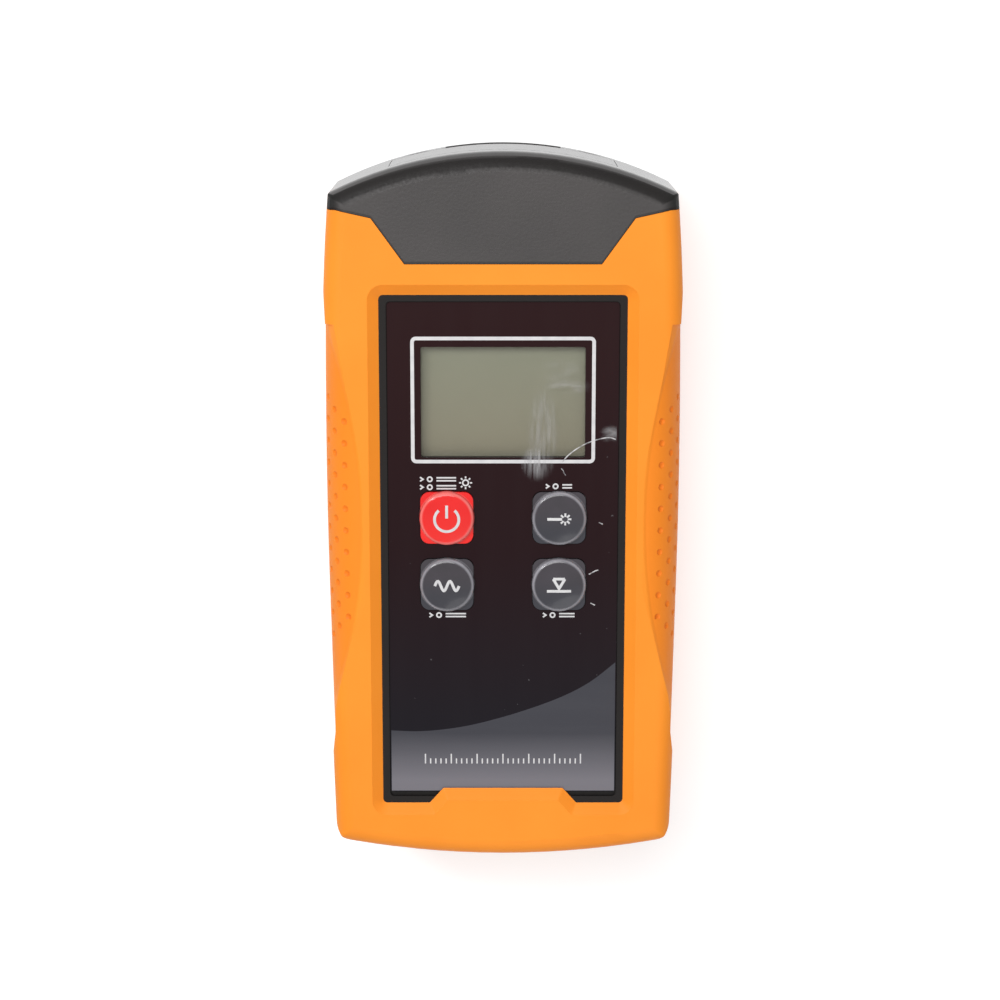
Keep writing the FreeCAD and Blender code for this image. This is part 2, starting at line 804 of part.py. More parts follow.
def contact_strips():
    """The two rubber strips that join the board to the display glass."""
    half = view_half + glass_border / 2 - 1
    low_y = view_foot_y - glass_border + contact_strip_gap
    high_y = view_top_y + glass_border - contact_strip_gap
    top = glass_z - glass_thickness
    return Part.makeCompound([
        box(-half, half, low_y, low_y + contact_strip_width, board_z, top),
        box(-half, half, high_y - contact_strip_width, high_y, board_z, top),
    ])


def display_light():
    """The diffuser block behind the display glass."""
    half = view_half + glass_border / 2 - light_guide_gap
    inner = glass_border - contact_strip_gap - contact_strip_width - light_guide_gap
    top = glass_z - glass_thickness - light_guide_air
    return box(-half, half, view_foot_y - inner, view_top_y + inner, board_z, top)


def main_board():
    board = rounded_box(
        -board_half, board_half, board_foot_y, board_top_y, board_z - board_thickness, board_z, board_corner)
    holes = [
        rod_z(board_screw_radius + hole_gap, x, y, board_z - board_thickness - 1, board_z + 1)
        for x, y in board_screw_places()
    ]
    return board.cut(holes)


def board_screws():
    made = []
    seat = board_z - board_thickness
    for x, y in board_screw_places():
        head = rod_z(board_screw_head_radius, x, y, seat - board_screw_head, seat)
        shank = rod_z(board_screw_radius, x, y, seat, seat + board_screw_length)
        made.append(head.fuse(shank))
    return Part.makeCompound(made)


def key_switch(x, y):
    top = board_z + switch_height
    body = box(x - switch_half, x + switch_half, y - switch_half, y + switch_half, board_z, top)
    return body.fuse(rod_z(switch_button_radius, x, y, top, top + switch_button))


def chip(x, y, half):
    """A flat chip on the board's back."""
    top = board_z - board_thickness
    return box(x - half, x + half, y - half, y + half, top - chip_height, top)


def crystal():
    top = board_z - board_thickness
    x0 = controller_half + crystal_gap
    start = Vector(x0, controller_y, top - crystal_radius)
    return rod(crystal_radius, start, Vector(1, 0, 0), crystal_length)


def arc_plan(inset, z0, z1):
    return prism(outline(inset), z0, z1)


def port_bay():
    """The tray behind the flap; both adapters stand on its floor."""
    half = bay_half + bay_wall
    tray = box(-half, half, bay_back_y, far, bay_low_z - bay_wall, bay_high_z + bay_wall)
    tray = tray.common(arc_plan(cap_wall + flap_rest_gap, 0, front_z))
    room = box(-bay_half, bay_half, bay_floor_y, far, bay_low_z, bay_high_z)
    holes = [rod_y(adapter_body_radius + hole_gap, x, port_z, 0, far) for x in (-port_half, port_half)]
    holes += [
        rod_y(adapter_screw_radius + thread_gap, x, z, 0, far) for x, z in adapter_screw_places()
    ]
    return tray.cut([room] + holes)


def adapter_screw_places():
    places = []
    for x in (-port_half, port_half):
        places.append((x - adapter_screw_offset, port_z + adapter_screw_offset))
        places.append((x + adapter_screw_offset, port_z - adapter_screw_offset))
    return places


def adapter(x, bore_radius):
    """A metal adapter: a keyed collar in front, a square flange on the tray's floor, and a body behind it."""
    tip_y = bay_floor_y + adapter_collar
    face_y = bay_floor_y + adapter_flange
    collar = rod_y(adapter_collar_radius, x, port_z, bay_floor_y, tip_y)
    body = rod_y(adapter_body_radius, x, port_z, bay_floor_y - adapter_body, bay_floor_y)
    half = adapter_flange_half
    flange = box(x - half, x + half, bay_floor_y, face_y, port_z - half, port_z + half)
    keyway = box(
        x - adapter_key_width / 2, x + adapter_key_width / 2, face_y, far,
        port_z + adapter_collar_radius - adapter_key_depth, far)
    cuts = [rod_y(bore_radius, x, port_z, 0, far), keyway]
    for sx, sz in adapter_screw_places():
        cuts.append(rod_y(adapter_screw_radius + thread_gap, sx, sz, 0, far))
    return collar.fuse([body, flange]).removeSplitter().cut(cuts)


def adapter_screws():
    made = []
    face_y = bay_floor_y + adapter_flange
    for x, z in adapter_screw_places():
        head = rod_y(adapter_screw_head_radius, x, z, face_y, face_y + adapter_screw_head)
        shank = rod_y(adapter_screw_radius, x, z, face_y - adapter_screw_length, face_y)
        made.append(head.fuse(shank))
    return Part.makeCompound(made)


def detector_adapter():
    solid = adapter(-port_half, port_bore_radius)
    end_y = bay_floor_y - adapter_body
    return solid.cut(rod_y(detector_radius + thread_gap, -port_half, port_z, end_y, end_y + detector_length))


def photodiode():
    """A sealed can with its window towards the port."""
    end_y = bay_floor_y - adapter_body
    return rod_y(detector_radius, -port_half, port_z, end_y, end_y + detector_length)


def detector_board():
    end_y = bay_floor_y - adapter_body
    half = detector_board_half
    top = board_z - board_thickness - detector_board_gap
    return box(
        -port_half - half, -port_half + half, end_y - detector_board_thickness, end_y,
        2 * port_z - top, top)


def laser_adapter():
    return adapter(port_half, sleeve_radius + thread_gap)


def laser_sleeve():
    """The split ceramic sleeve that a ferrule slides into."""
    tip_y = bay_floor_y + adapter_collar - sleeve_recess
    tube = rod_y(sleeve_radius, port_half, port_z, tip_y - sleeve_length, tip_y)
    slit = box(
        port_half - sleeve_slit / 2, port_half + sleeve_slit / 2, 0, far,
        port_z - sleeve_radius - 1, port_z)
    return tube.cut([rod_y(port_bore_radius, port_half, port_z, 0, far), slit])


def laser_module():
    end_y = bay_floor_y - adapter_body
    barrel = rod_y(laser_radius, port_half, port_z, end_y - laser_length, end_y)
    tail_y = end_y - laser_length
    tail = rod_y(laser_tail_radius, port_half, port_z, tail_y - laser_tail, tail_y)
    return barrel.fuse(tail)


def flap(outer_plan):
    """The flap is a piece of the port end's own curved wall, with a knuckle on its back edge."""
    window = box(-flap_half, flap_half, 0, far, flap_low_z, flap_high_z)
    panel = outer_plan.common(window).cut(arc_plan(cap_wall, 0, front_z))
    neck = box(
        -hinge_knuckle_half, hinge_knuckle_half,
        top_y - cap_wall, hinge_y + hinge_barrel_radius, hinge_z, flap_low_z + flap_gap)
    barrel = hinge_rod(hinge_barrel_radius, -hinge_knuckle_half, hinge_knuckle_half)
    solid = panel.fuse([neck, barrel]).removeSplitter()
    return solid.cut(hinge_rod(hinge_pin_radius + hinge_running_gap, -far, far))


def flap_pin():
    return hinge_rod(hinge_pin_radius, -hinge_ear_half, hinge_ear_half)


def cell(x, towards_top):
    """A dry cell lying along Y, its nub at one end."""
    y0 = battery_bay_middle_y - cell_length / 2
    y1 = battery_bay_middle_y + cell_length / 2
    if towards_top:
        can = rod_y(cell_radius, x, cell_z, y0, y1 - cell_nub)
        nub = rod_y(cell_nub_radius, x, cell_z, y1 - cell_nub, y1)
    else:
        can = rod_y(cell_radius, x, cell_z, y0 + cell_nub, y1)
        nub = rod_y(cell_nub_radius, x, cell_z, y0, y0 + cell_nub)
    return can.fuse(nub)


def cell_places():
    return [cell_spacing * (i - (cell_count - 1) / 2) for i in range(cell_count)]


def contact(x, wall_y, towards):
    """A sprung contact: a plate on the bay's end wall and a bowed tongue that presses on the cell."""
    plate_y = wall_y + towards * contact_sheet
    plate = box(
        x - contact_half, x + contact_half, min(wall_y, plate_y), max(wall_y, plate_y),
        cell_z - contact_half, cell_z + contact_half)
    reach = contact_space - contact_sheet - contact_touch_gap
    low = cell_z - contact_half
    high = cell_z + contact_half
    outer = Part.Arc(
        Vector(x, plate_y, low), Vector(x, plate_y + towards * reach, cell_z), Vector(x, plate_y, high))
    inner = Part.Arc(
        Vector(x, plate_y, low + 2 * contact_sheet),
        Vector(x, plate_y + towards * (reach - contact_sheet), cell_z),
        Vector(x, plate_y, high - 2 * contact_sheet))
    ends = [
        Part.LineSegment(Vector(x, plate_y, low), Vector(x, plate_y, low + 2 * contact_sheet)),
        Part.LineSegment(Vector(x, plate_y, high), Vector(x, plate_y, high - 2 * contact_sheet)),
    ]
    edges = [outer.toShape(), ends[1].toShape(), inner.toShape(), ends[0].toShape()]
    face = Part.Face(Part.Wire(Part.__sortEdges__(edges)))
    face.translate(Vector(-contact_tongue_half, 0, 0))
    tongue = face.extrude(Vector(2 * contact_tongue_half, 0, 0))
    return plate.fuse(tongue).removeSplitter()


def contacts(wall_y, towards):
    return Part.makeCompound([contact(x, wall_y, towards) for x in cell_places()])


def all_parts():
    outer = envelope()
    whole = housing(outer)
    cavity = housing_cavity()
    outer_plan = arc_plan(0, 0, front_z)
    places = key_places()
    parts = {
        "rubber_boot": rubber_boot(outer),
        "front_shell": front_shell(whole, cavity),
        "back_shell": back_shell(whole, cavity),
        "front_overlay": front_overlay(),
        "display_window": display_window(),
        "display_glass": display_glass(),
        "display_holder": display_holder(),
        "display_light": display_light(),
        "display_contact_strips": contact_strips(),
        "main_board": main_board(),
        "board_screws": board_screws(),
        "case_screws": case_screws(),
        "controller_chip": chip(0, controller_y, controller_half),
        "amplifier_chip": chip(-port_half, amplifier_y, amplifier_half),
        "crystal": crystal(),
        "port_bay": port_bay(),
        "detector_adapter": detector_adapter(),
        "photodiode": photodiode(),
        "detector_board": detector_board(),
        "laser_adapter": laser_adapter(),
        "laser_sleeve": laser_sleeve(),
        "laser_module": laser_module(),
        "adapter_screws": adapter_screws(),
        "port_flap": flap(outer_plan),
        "flap_pin": flap_pin(),
        "battery_door": battery_door(),
        "contacts_top": contacts(battery_top_y, -1),
        "contacts_foot": contacts(battery_foot_y, 1),
    }
    key_names = ("power", "laser", "wavelength", "reference")
    for name, (x, y) in zip(key_names, places):
        parts[name + "_key"] = key(x, y)
        parts[name + "_switch"] = key_switch(x, y)
    for i, x in enumerate(cell_places()):
        parts["battery_%d" % (i + 1)] = cell(x, i % 2 == 0)
    return parts


os.makedirs("parts", exist_ok=True)
for name, solid in all_parts().items():
    solid.exportStep("parts/%s.step" % name)
    print("%-24s %9.2f mm3, %d solid(s), valid %s" % (name, solid.Volume, len(solid.Solids), solid.isValid()))
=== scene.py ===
import math

import bpy
from mathutils import Matrix, Vector, interpolate
from mathutils.bvhtree import BVHTree


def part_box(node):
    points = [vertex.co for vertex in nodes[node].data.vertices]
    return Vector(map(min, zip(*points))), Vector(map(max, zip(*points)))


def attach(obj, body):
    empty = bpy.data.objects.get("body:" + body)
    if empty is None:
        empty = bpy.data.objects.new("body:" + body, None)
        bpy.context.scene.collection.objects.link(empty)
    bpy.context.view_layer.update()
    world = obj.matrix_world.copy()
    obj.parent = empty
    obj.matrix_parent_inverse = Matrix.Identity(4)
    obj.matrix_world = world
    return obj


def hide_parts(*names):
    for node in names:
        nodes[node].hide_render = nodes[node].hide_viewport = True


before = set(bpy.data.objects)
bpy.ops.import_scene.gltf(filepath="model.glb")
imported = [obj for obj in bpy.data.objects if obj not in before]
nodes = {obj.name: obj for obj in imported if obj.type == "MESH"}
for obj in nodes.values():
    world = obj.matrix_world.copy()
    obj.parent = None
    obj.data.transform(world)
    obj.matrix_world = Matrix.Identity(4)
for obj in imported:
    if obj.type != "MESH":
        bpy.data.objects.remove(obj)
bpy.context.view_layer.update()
mm = 0.001
print("stage: frame loaded")

# Camera: it stands over the meter, leaning a little towards the port end.

cameraLook = {
    "place": (-0.67, 117.1, 567.0),     # mm
    "target": (-0.67, 3.27, 36.3),      # mm
    "lens": 88.05,
    "sensor": 36.0,
}


def makeCamera(look):
    data = bpy.data.cameras.new("camera")
    data.lens = look["lens"]
    data.sensor_width = look["sensor"]
    data.clip_start = 0.01
    data.clip_end = 20
    camera = bpy.data.objects.new("camera", data)
    bpy.context.scene.collection.objects.link(camera)
    place = Vector(look["place"]) * mm
    target = Vector(look["target"]) * mm
    back = (place - target).normalized()
    side = Vector((0, 1, 0)).cross(back).normalized()
    up = back.cross(side)
    turn = Matrix((side, up, back)).transposed()
    camera.location = place
    camera.rotation_mode = "QUATERNION"
    camera.rotation_quaternion = turn.to_quaternion()
    bpy.context.scene.camera = camera
    return camera


makeCamera(cameraLook)
bpy.context.scene.view_settings.view_transform = "Standard"
print("stage: camera")


# Small helpers for node materials

def newMaterial(name):
    material = bpy.data.materials.new(name)
    material.use_nodes = True
    material.node_tree.nodes.clear()
    return material


def addNode(material, kind, **settings):
    node = material.node_tree.nodes.new(kind)
    for key, value in settings.items():
        setattr(node, key, value)
    return node


def link(material, source, target):
    material.node_tree.links.new(source, target)


def setInputs(node, values):
    for key, value in values.items():
        node.inputs[key].default_value = value


def mathNode(material, operation, a, b=0.5, c=0.5):
    node = addNode(material, "ShaderNodeMath", operation=operation)
    for index, value in enumerate((a, b, c)):
        if hasattr(value, "default_value"):
            link(material, value, node.inputs[index])
        else:
            node.inputs[index].default_value = value
    return node.outputs[0]


# 0 below the low value, 1 above the high one, and a soft change in between
def stepNode(material, value, low, high):
    node = addNode(material, "ShaderNodeMapRange", interpolation_type="SMOOTHSTEP")
    setInputs(node, {"From Min": low, "From Max": high})
    link(material, value, node.inputs["Value"])
    return node.outputs["Result"]


def rampNode(material, source, stops):
    ramp = addNode(material, "ShaderNodeValToRGB")
    elements = ramp.color_ramp.elements
    while len(elements) < len(stops):
        elements.new(0.5)
    for element, (position, color) in zip(elements, stops):
        element.position = position
        element.color = (*color, 1)
    link(material, source, ramp.inputs[0])
    return ramp.outputs["Color"]


def mixColor(material, factor, a, b):
    node = addNode(material, "ShaderNodeMix", data_type="RGBA")
    for socket, value in ((node.inputs[0], factor), (node.inputs[6], a), (node.inputs[7], b)):
        if hasattr(value, "default_value"):
            link(material, value, socket)
        elif isinstance(value, tuple):
            socket.default_value = (*value, 1)
        else:
            socket.default_value = value
    return node.outputs[2]


def placeNode(material):
    return addNode(material, "ShaderNodeTexCoord").outputs["Object"]


def splitPlace(material):
    node = addNode(material, "ShaderNodeSeparateXYZ")
    link(material, placeNode(material), node.inputs[0])
    return node.outputs["X"], node.outputs["Y"], node.outputs["Z"]


def noiseNode(material, scale, detail=3.0, stretch=None, rough=0.5):
    noise = addNode(material, "ShaderNodeTexNoise")
    setInputs(noise, {"Scale": scale, "Detail": detail, "Roughness": rough})
    place = placeNode(material)
    if stretch:
        mapping = addNode(material, "ShaderNodeMapping")
        mapping.inputs["Scale"].default_value = stretch
        link(material, place, mapping.inputs["Vector"])
        place = mapping.outputs["Vector"]
    link(material, place, noise.inputs["Vector"])
    return noise.outputs["Fac"]


def bumpNode(material, height, strength, distance, normal=None):
    bump = addNode(material, "ShaderNodeBump")
    setInputs(bump, {"Strength": strength, "Distance": distance})
    link(material, height, bump.inputs["Height"])
    if normal:
        link(material, normal, bump.inputs["Normal"])
    return bump.outputs["Normal"]


def shaderNode(material, values):
    shader = addNode(material, "ShaderNodeBsdfPrincipled")
    setInputs(shader, values)
    output = addNode(material, "ShaderNodeOutputMaterial")
    link(material, shader.outputs[0], output.inputs["Surface"])
    return shader


def principled(material):
    nodeList = material.node_tree.nodes
    return next(node for node in nodeList if node.bl_idname == "ShaderNodeBsdfPrincipled")


# A moulded, metal or painted surface: its colour drifts a little, and its roughness and grain vary
def plainFinish(name, look):
    material = newMaterial(name)
    shader = shaderNode(material, look.get("shader", {}))
    drift = noiseNode(material, look["driftScale"], 4.0, look.get("stretch"))
    color = rampNode(material, drift, [(0.3, look["dark"]), (0.7, look["light"])])
    link(material, color, shader.inputs["Base Color"])
    grain = noiseNode(material, look["grainScale"], 2.0, look.get("stretch"))
    low, high = look["roughness"]
    rough = addNode(material, "ShaderNodeMapRange")
    setInputs(rough, {"From Min": 0.3, "From Max": 0.7, "To Min": low, "To Max": high})
    link(material, grain, rough.inputs["Value"])
    link(material, rough.outputs[0], shader.inputs["Roughness"])
    normal = bumpNode(material, grain, look["bump"], look["bumpDepth"])
    link(material, normal, shader.inputs["Normal"])
    return material


def joined(shapes):
    points, faces = [], []
    for shapePoints, shapeFaces in shapes:
        shift = len(points)
        points += [tuple(p) for p in shapePoints]
        faces += [tuple(i + shift for i in face) for face in shapeFaces]
    return points, faces


def setMaterial(target, material):
    target.data.materials.clear()
    target.data.materials.append(material)


# Shades a node's curved faces smooth and keeps its edges sharp
def smooth(target, degrees=30):
    mesh = target.data
    mesh.shade_smooth()
    mesh.set_sharp_from_angle(angle=math.radians(degrees))


def addMesh(name, points, faces, material, body):
    mesh = bpy.data.meshes.new(name)
    mesh.from_pydata([Vector(p) * mm for p in points], [], faces)
    mesh.update()
    piece = bpy.data.objects.new(name, mesh)
    bpy.context.scene.collection.objects.link(piece)
    mesh.materials.append(material)
    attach(piece, body)
    return piece


print("stage: helpers")

# Floor and light

stageLook = {
    "floorSize": 4.0,
    "floorColor": 0.72,
    "floorGrain": 40.0,
    "floorMottle": 0.01,
    "floorGlow": 0.5,       # near the meter, rising to 1 far from it
    "glowNear": 0.35,
    "glowFar": 1.1,
    "worldLight": 0.34,
    "worldTint": (0.97, 0.98, 1.0),
    "keyPlace": (-0.14, 0.52, 1.12),
    "keySize": 0.8,
    "keyPower": 7.3,
    "fillPlace": (0.25, -0.8, 0.9),
    "fillSize": 1.0,
    "fillPower": 3.0,
    "glintPlace": (-0.42, 0.36, 0.62),
    "glintSize": 0.2,
    "glintPower": 2.0,
}


def makeFloor(look):
    half = look["floorSize"] / 2
    mesh = bpy.data.meshes.new("floor")
    corners = [(-half, -half, 0), (half, -half, 0), (half, half, 0), (-half, half, 0)]
    mesh.from_pydata(corners, [], [(0, 1, 2, 3)])
    floor = bpy.data.objects.new("floor", mesh)
    bpy.context.scene.collection.objects.link(floor)
    material = newMaterial("floorPaper")
    grain = noiseNode(material, look["floorGrain"])
    tone = look["floorColor"]
    color = rampNode(material, grain, [(0.2, (tone - look["floorMottle"],) * 3), (0.8, (tone,) * 3)])
    diffuse = addNode(material, "ShaderNodeBsdfDiffuse")
    link(material, color, diffuse.inputs["Color"])
    glow = addNode(material, "ShaderNodeEmission")
    path = addNode(material, "ShaderNodeLightPath")
    seen = mathNode(material, "ADD", path.outputs["Is Camera Ray"], path.outputs["Is Glossy Ray"])
    seen = mathNode(material, "ADD", seen, path.outputs["Is Transmission Ray"])
    length = addNode(material, "ShaderNodeVectorMath", operation="LENGTH")
    link(material, placeNode(material), length.inputs[0])
    farAway = stepNode(material, length.outputs["Value"], look["glowNear"], look["glowFar"])
    level = mathNode(material, "MULTIPLY_ADD", farAway, 1 - look["floorGlow"], look["floorGlow"])
    link(material, mathNode(material, "MULTIPLY", seen, level), glow.inputs["Strength"])
    total = addNode(material, "ShaderNodeAddShader")
    link(material, diffuse.outputs[0], total.inputs[0])
    link(material, glow.outputs[0], total.inputs[1])
    output = addNode(material, "ShaderNodeOutputMaterial")
    link(material, total.outputs[0], output.inputs["Surface"])
    mesh.materials.append(material)


def makeWorld(look):
    world = bpy.data.worlds.new("studio")
    bpy.context.scene.world = world
    world.use_nodes = True
    tree = world.node_tree
    tree.nodes.clear()
    path = tree.nodes.new("ShaderNodeLightPath")
    soft = tree.nodes.new("ShaderNodeBackground")
    soft.inputs["Color"].default_value = (*look["worldTint"], 1)
    soft.inputs["Strength"].default_value = look["worldLight"]
    white = tree.nodes.new("ShaderNodeBackground")
    white.inputs["Strength"].default_value = 1.0
    white.inputs["Color"].default_value = (1, 1, 1, 1)
    mix = tree.nodes.new("ShaderNodeMixShader")
    output = tree.nodes.new("ShaderNodeOutputWorld")
    seen = path.outputs["Is Camera Ray"]
    for ray in ("Is Glossy Ray", "Is Transmission Ray"):
        total = tree.nodes.new("ShaderNodeMath")     # adds up the kinds of ray
        tree.links.new(seen, total.inputs[0])
        tree.links.new(path.outputs[ray], total.inputs[1])
        seen = total.outputs[0]
    tree.links.new(seen, mix.inputs[0])
    tree.links.new(soft.outputs[0], mix.inputs[1])
    tree.links.new(white.outputs[0], mix.inputs[2])
    tree.links.new(mix.outputs[0], output.inputs["Surface"])


def makeLamp(name, place, size, power):
    data = bpy.data.lights.new(name, "AREA")
    data.shape = "DISK"
    data.size = size
    data.energy = power
    lamp = bpy.data.objects.new(name, data)
    bpy.context.scene.collection.objects.link(lamp)
    lamp.location = place
    lamp.rotation_mode = "QUATERNION"
    lamp.rotation_quaternion = (-Vector(place)).to_track_quat("-Z", "Y")


makeFloor(stageLook)
makeWorld(stageLook)
makeLamp("keyLamp", stageLook["keyPlace"], stageLook["keySize"], stageLook["keyPower"])
makeLamp("fillLamp", stageLook["fillPlace"], stageLook["fillSize"], stageLook["fillPower"])
makeLamp("glintLamp", stageLook["glintPlace"], stageLook["glintSize"], stageLook["glintPower"])
print("stage: floor and light")

# Rubber boot

bootLook = {
    "light": (1.0, 0.312, 0.024),
    "dark": (0.965, 0.286, 0.019),
    # painted shade: the grip pads take this darker orange
    "pad": (0.94, 0.238, 0.012),
    "padShadeStrength": 0.6,
    "padBump": 0.14,       # mm
    # painted shade: the hollows take these darker colours
    "hollowShadeLight": (0.80, 0.185, 0.009),
    "hollowShadeDark": (0.72, 0.155, 0.007),
    "creaseX": 30.9,       # mm
    "creaseBend": 0.0039,
    "creaseY": -1.3,       # mm
    "creaseWidth": 0.9,    # mm
    "driftScale": 45.0,
    "grainScale": 2600.0,
    "roughness": (0.46, 0.6),
    "bump": 0.1,
    "bumpDepth": 0.00005,
}

# The hollows lie in columns round the pads' edges. Lengths here are in mm, angles in degrees.
hollowLook = {
    "radius": 0.8,
    "depth": 0.36,
    "pitch": 4.93,
    "middleY": -1.1,
    "frontCount": 10,      # each column further down the side has one more
    "columns": 5,
    "firstAngle": 31.0,
    "angleStep": 18.0,
    "skin": 0.002,         # a small face further than this from the plain boot belongs to a hollow
    "smallFace": 0.2,      # mm2
    "segments": 16,
    "rings": (8, 16, 24, 32, 40, 52),
    "padRound": 9.2,
    "padHalf": 39.5,
    "padMiddleY": 10.0,
    "padArch": 1200.0,
    "padStep": 0.05,
    "topFlatY": 8.0,
    "footFlatY": -15.0,
    "topRise": 205.0,
    "footRise": 97.0,
}


# The place of one hollow on the right-hand pad, and the way straight out of the rubber there
def hollowPlace(look, frontZ, y, degrees):
    centreX = look["padHalf"] - look["padRound"] - (y - look["padMiddleY"]) ** 2 / (2 * look["padArch"])
    centreZ = frontZ + look["padStep"] - look["padRound"]
    centreZ += max(0, y - look["topFlatY"]) ** 2 / (2 * look["topRise"])
    centreZ += max(0, look["footFlatY"] - y) ** 2 / (2 * look["footRise"])
    out = Vector((math.sin(math.radians(degrees)), 0, math.cos(math.radians(degrees))))
    return Vector((centreX, y, centreZ)) + out * look["padRound"], out


# A closed ball-shaped cutter: its inner pole is the bottom of the hollow
def hollowCutter(look, place, out):
    ball = (look["radius"] ** 2 + look["depth"] ** 2) / (2 * look["depth"])
    centre = place + out * (ball - look["depth"])
    side = Vector((0, 1, 0))
    across = out.cross(side)
    count = look["segments"]
    points = [centre - out * ball]
    for ring in look["rings"]:
        reach = ball * math.sin(math.radians(ring))
        level = centre - out * ball * math.cos(math.radians(ring))
        for i in range(count):
            turn = 2 * math.pi * i / count
            points.append(level + (side * math.cos(turn) + across * math.sin(turn)) * reach)
    faces = [(0, 1 + (i + 1) % count, 1 + i) for i in range(count)]
    for ring in range(len(look["rings"]) - 1):
        low = 1 + ring * count
        high = low + count
        for i in range(count):
            j = (i + 1) % count
            faces.append((low + i, low + j, high + j, high + i))
    faces.append(tuple(1 + (len(look["rings"]) - 1) * count + i for i in range(count)))
    return points, faces


def hollowCutters(look, frontZ):
    shapes = []
    for column in range(look["columns"]):
        count = look["frontCount"] + column
        for row in range(count):
            y = look["middleY"] + (row - (count - 1) / 2) * look["pitch"]
            place, out = hollowPlace(look, frontZ, y, look["firstAngle"] + column * look["angleStep"])
            points, faces = hollowCutter(look, place, out)
            shapes.append((points, faces))
            mirrored = [(-point.x, point.y, point.z) for point in points]
            shapes.append((mirrored, [face[::-1] for face in faces]))
    return joined(shapes)


# 1 on the grip pads, 0 on the rest of the boot
def padMask(material, look):
    across, along, up = splitPlace(material)
    offY = mathNode(material, "MULTIPLY_ADD", along, 1 / mm, -look["creaseY"])
    squared = mathNode(material, "MULTIPLY", offY, offY)
    crease = mathNode(material, "MULTIPLY_ADD", squared, look["creaseBend"], look["creaseX"])
    x = mathNode(material, "MULTIPLY", mathNode(material, "ABSOLUTE", across), 1 / mm)
    edge = addNode(material, "ShaderNodeMapRange", interpolation_type="SMOOTHSTEP")
    setInputs(edge, {"From Max": look["creaseWidth"]})
    link(material, mathNode(material, "SUBTRACT", x, crease), edge.inputs["Value"])
    return edge.outputs["Result"]


def bootFinish(name, look, light, dark):
    material = newMaterial(name)
    shader = shaderNode(material, {"Specular IOR Level": 0.25})
    drift = noiseNode(material, look["driftScale"], 4.0)
    base = rampNode(material, drift, [(0.3, dark), (0.7, light)])
    pad = padMask(material, look)
    # Painted shade: the grip pads are mixed towards a darker orange
    share = mathNode(material, "MULTIPLY", pad, look["padShadeStrength"])
    link(material, mixColor(material, share, base, look["pad"]), shader.inputs["Base Color"])
    grain = noiseNode(material, look["grainScale"], 2.0)
    rough = addNode(material, "ShaderNodeMapRange")
    low, high = look["roughness"]
    setInputs(rough, {"From Min": 0.3, "From Max": 0.7, "To Min": low, "To Max": high})
    link(material, grain, rough.inputs["Value"])
    link(material, rough.outputs[0], shader.inputs["Roughness"])
    fine = bumpNode(material, grain, look["bump"], look["bumpDepth"])
    step = mathNode(material, "MULTIPLY", pad, -1.0)
    link(material, bumpNode(material, step, 1.0, look["padBump"] * mm, fine), shader.inputs["Normal"])
    return material


# The smooth normal of one face of a mesh at a place on it
def normalAt(mesh, index, place):
    loops = [mesh.loops[i] for i in mesh.polygons[index].loop_indices]
    corners = [mesh.vertices[loop.vertex_index].co for loop in loops]
    total = Vector((0, 0, 0))
    for weight, loop in zip(interpolate.poly_3d_calc(corners, place), loops):
        total += Vector(mesh.corner_normals[loop.index].vector) * weight
    return total.normalized()


# The boot with its hollows cut out and painted shade on their small faces: it stands for the plain boot
def hollowedBoot(node, look, material, hollowShadeMaterial):
    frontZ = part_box(node.name)[1].z / mm
    plain = node.data.copy()
    plain.transform(node.matrix_world)
    boot = bpy.data.objects.new("bootBody", plain)
    points, faces = hollowCutters(look, frontZ)
    cutterMesh = bpy.data.meshes.new("hollowCutters")
    cutterMesh.from_pydata([Vector(p) * mm for p in points], [], faces)
    cutter = bpy.data.objects.new("hollowCutters", cutterMesh)
    for piece in (boot, cutter):
        bpy.context.scene.collection.objects.link(piece)
    weld = boot.modifiers.new("weld", "WELD")
    weld.merge_threshold = 1e-6
    cut = boot.modifiers.new("cut", "BOOLEAN")
    cut.operation = "DIFFERENCE"
    cut.solver = "EXACT"
    cut.object = cutter
    bpy.context.view_layer.update()
    result = bpy.data.meshes.new_from_object(boot.evaluated_get(bpy.context.evaluated_depsgraph_get()))
    boot.modifiers.clear()
    boot.data = result
    bpy.data.objects.remove(cutter)
    smooth(boot)
    tree = BVHTree.FromPolygons([v.co for v in plain.vertices], [tuple(p.vertices) for p in plain.polygons])
    normals = [Vector(corner.vector) for corner in result.corner_normals]
    setMaterial(boot, material)
    result.materials.append(hollowShadeMaterial)
    for face in result.polygons:
        hit, faceNormal, index, distance = tree.find_nearest(face.center)
        if distance > look["skin"] * mm:
            # small faces inside a hollow get the darker material, painted shade
            face.material_index = int(face.area < look["smallFace"] * mm * mm)
            continue
        for loop in face.loop_indices:
            place = result.vertices[result.loops[loop].vertex_index].co
            normals[loop] = normalAt(plain, index, place)
    result.normals_split_custom_set(normals)
    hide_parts(node.name)
    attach(boot, "housing")
    return boot


smooth(nodes["rubber_boot"])
bootRubber = bootFinish("bootRubber", bootLook, bootLook["light"], bootLook["dark"])
hollowShadeRubber = bootFinish("hollowShadeRubber", bootLook, bootLook["hollowShadeLight"], bootLook["hollowShadeDark"])
setMaterial(nodes["rubber_boot"], bootRubber)
hollowedBoot(nodes["rubber_boot"], hollowLook, bootRubber, hollowShadeRubber)
print("stage: boot")

# Black plastic: the two shells, the flap, the door and the tray

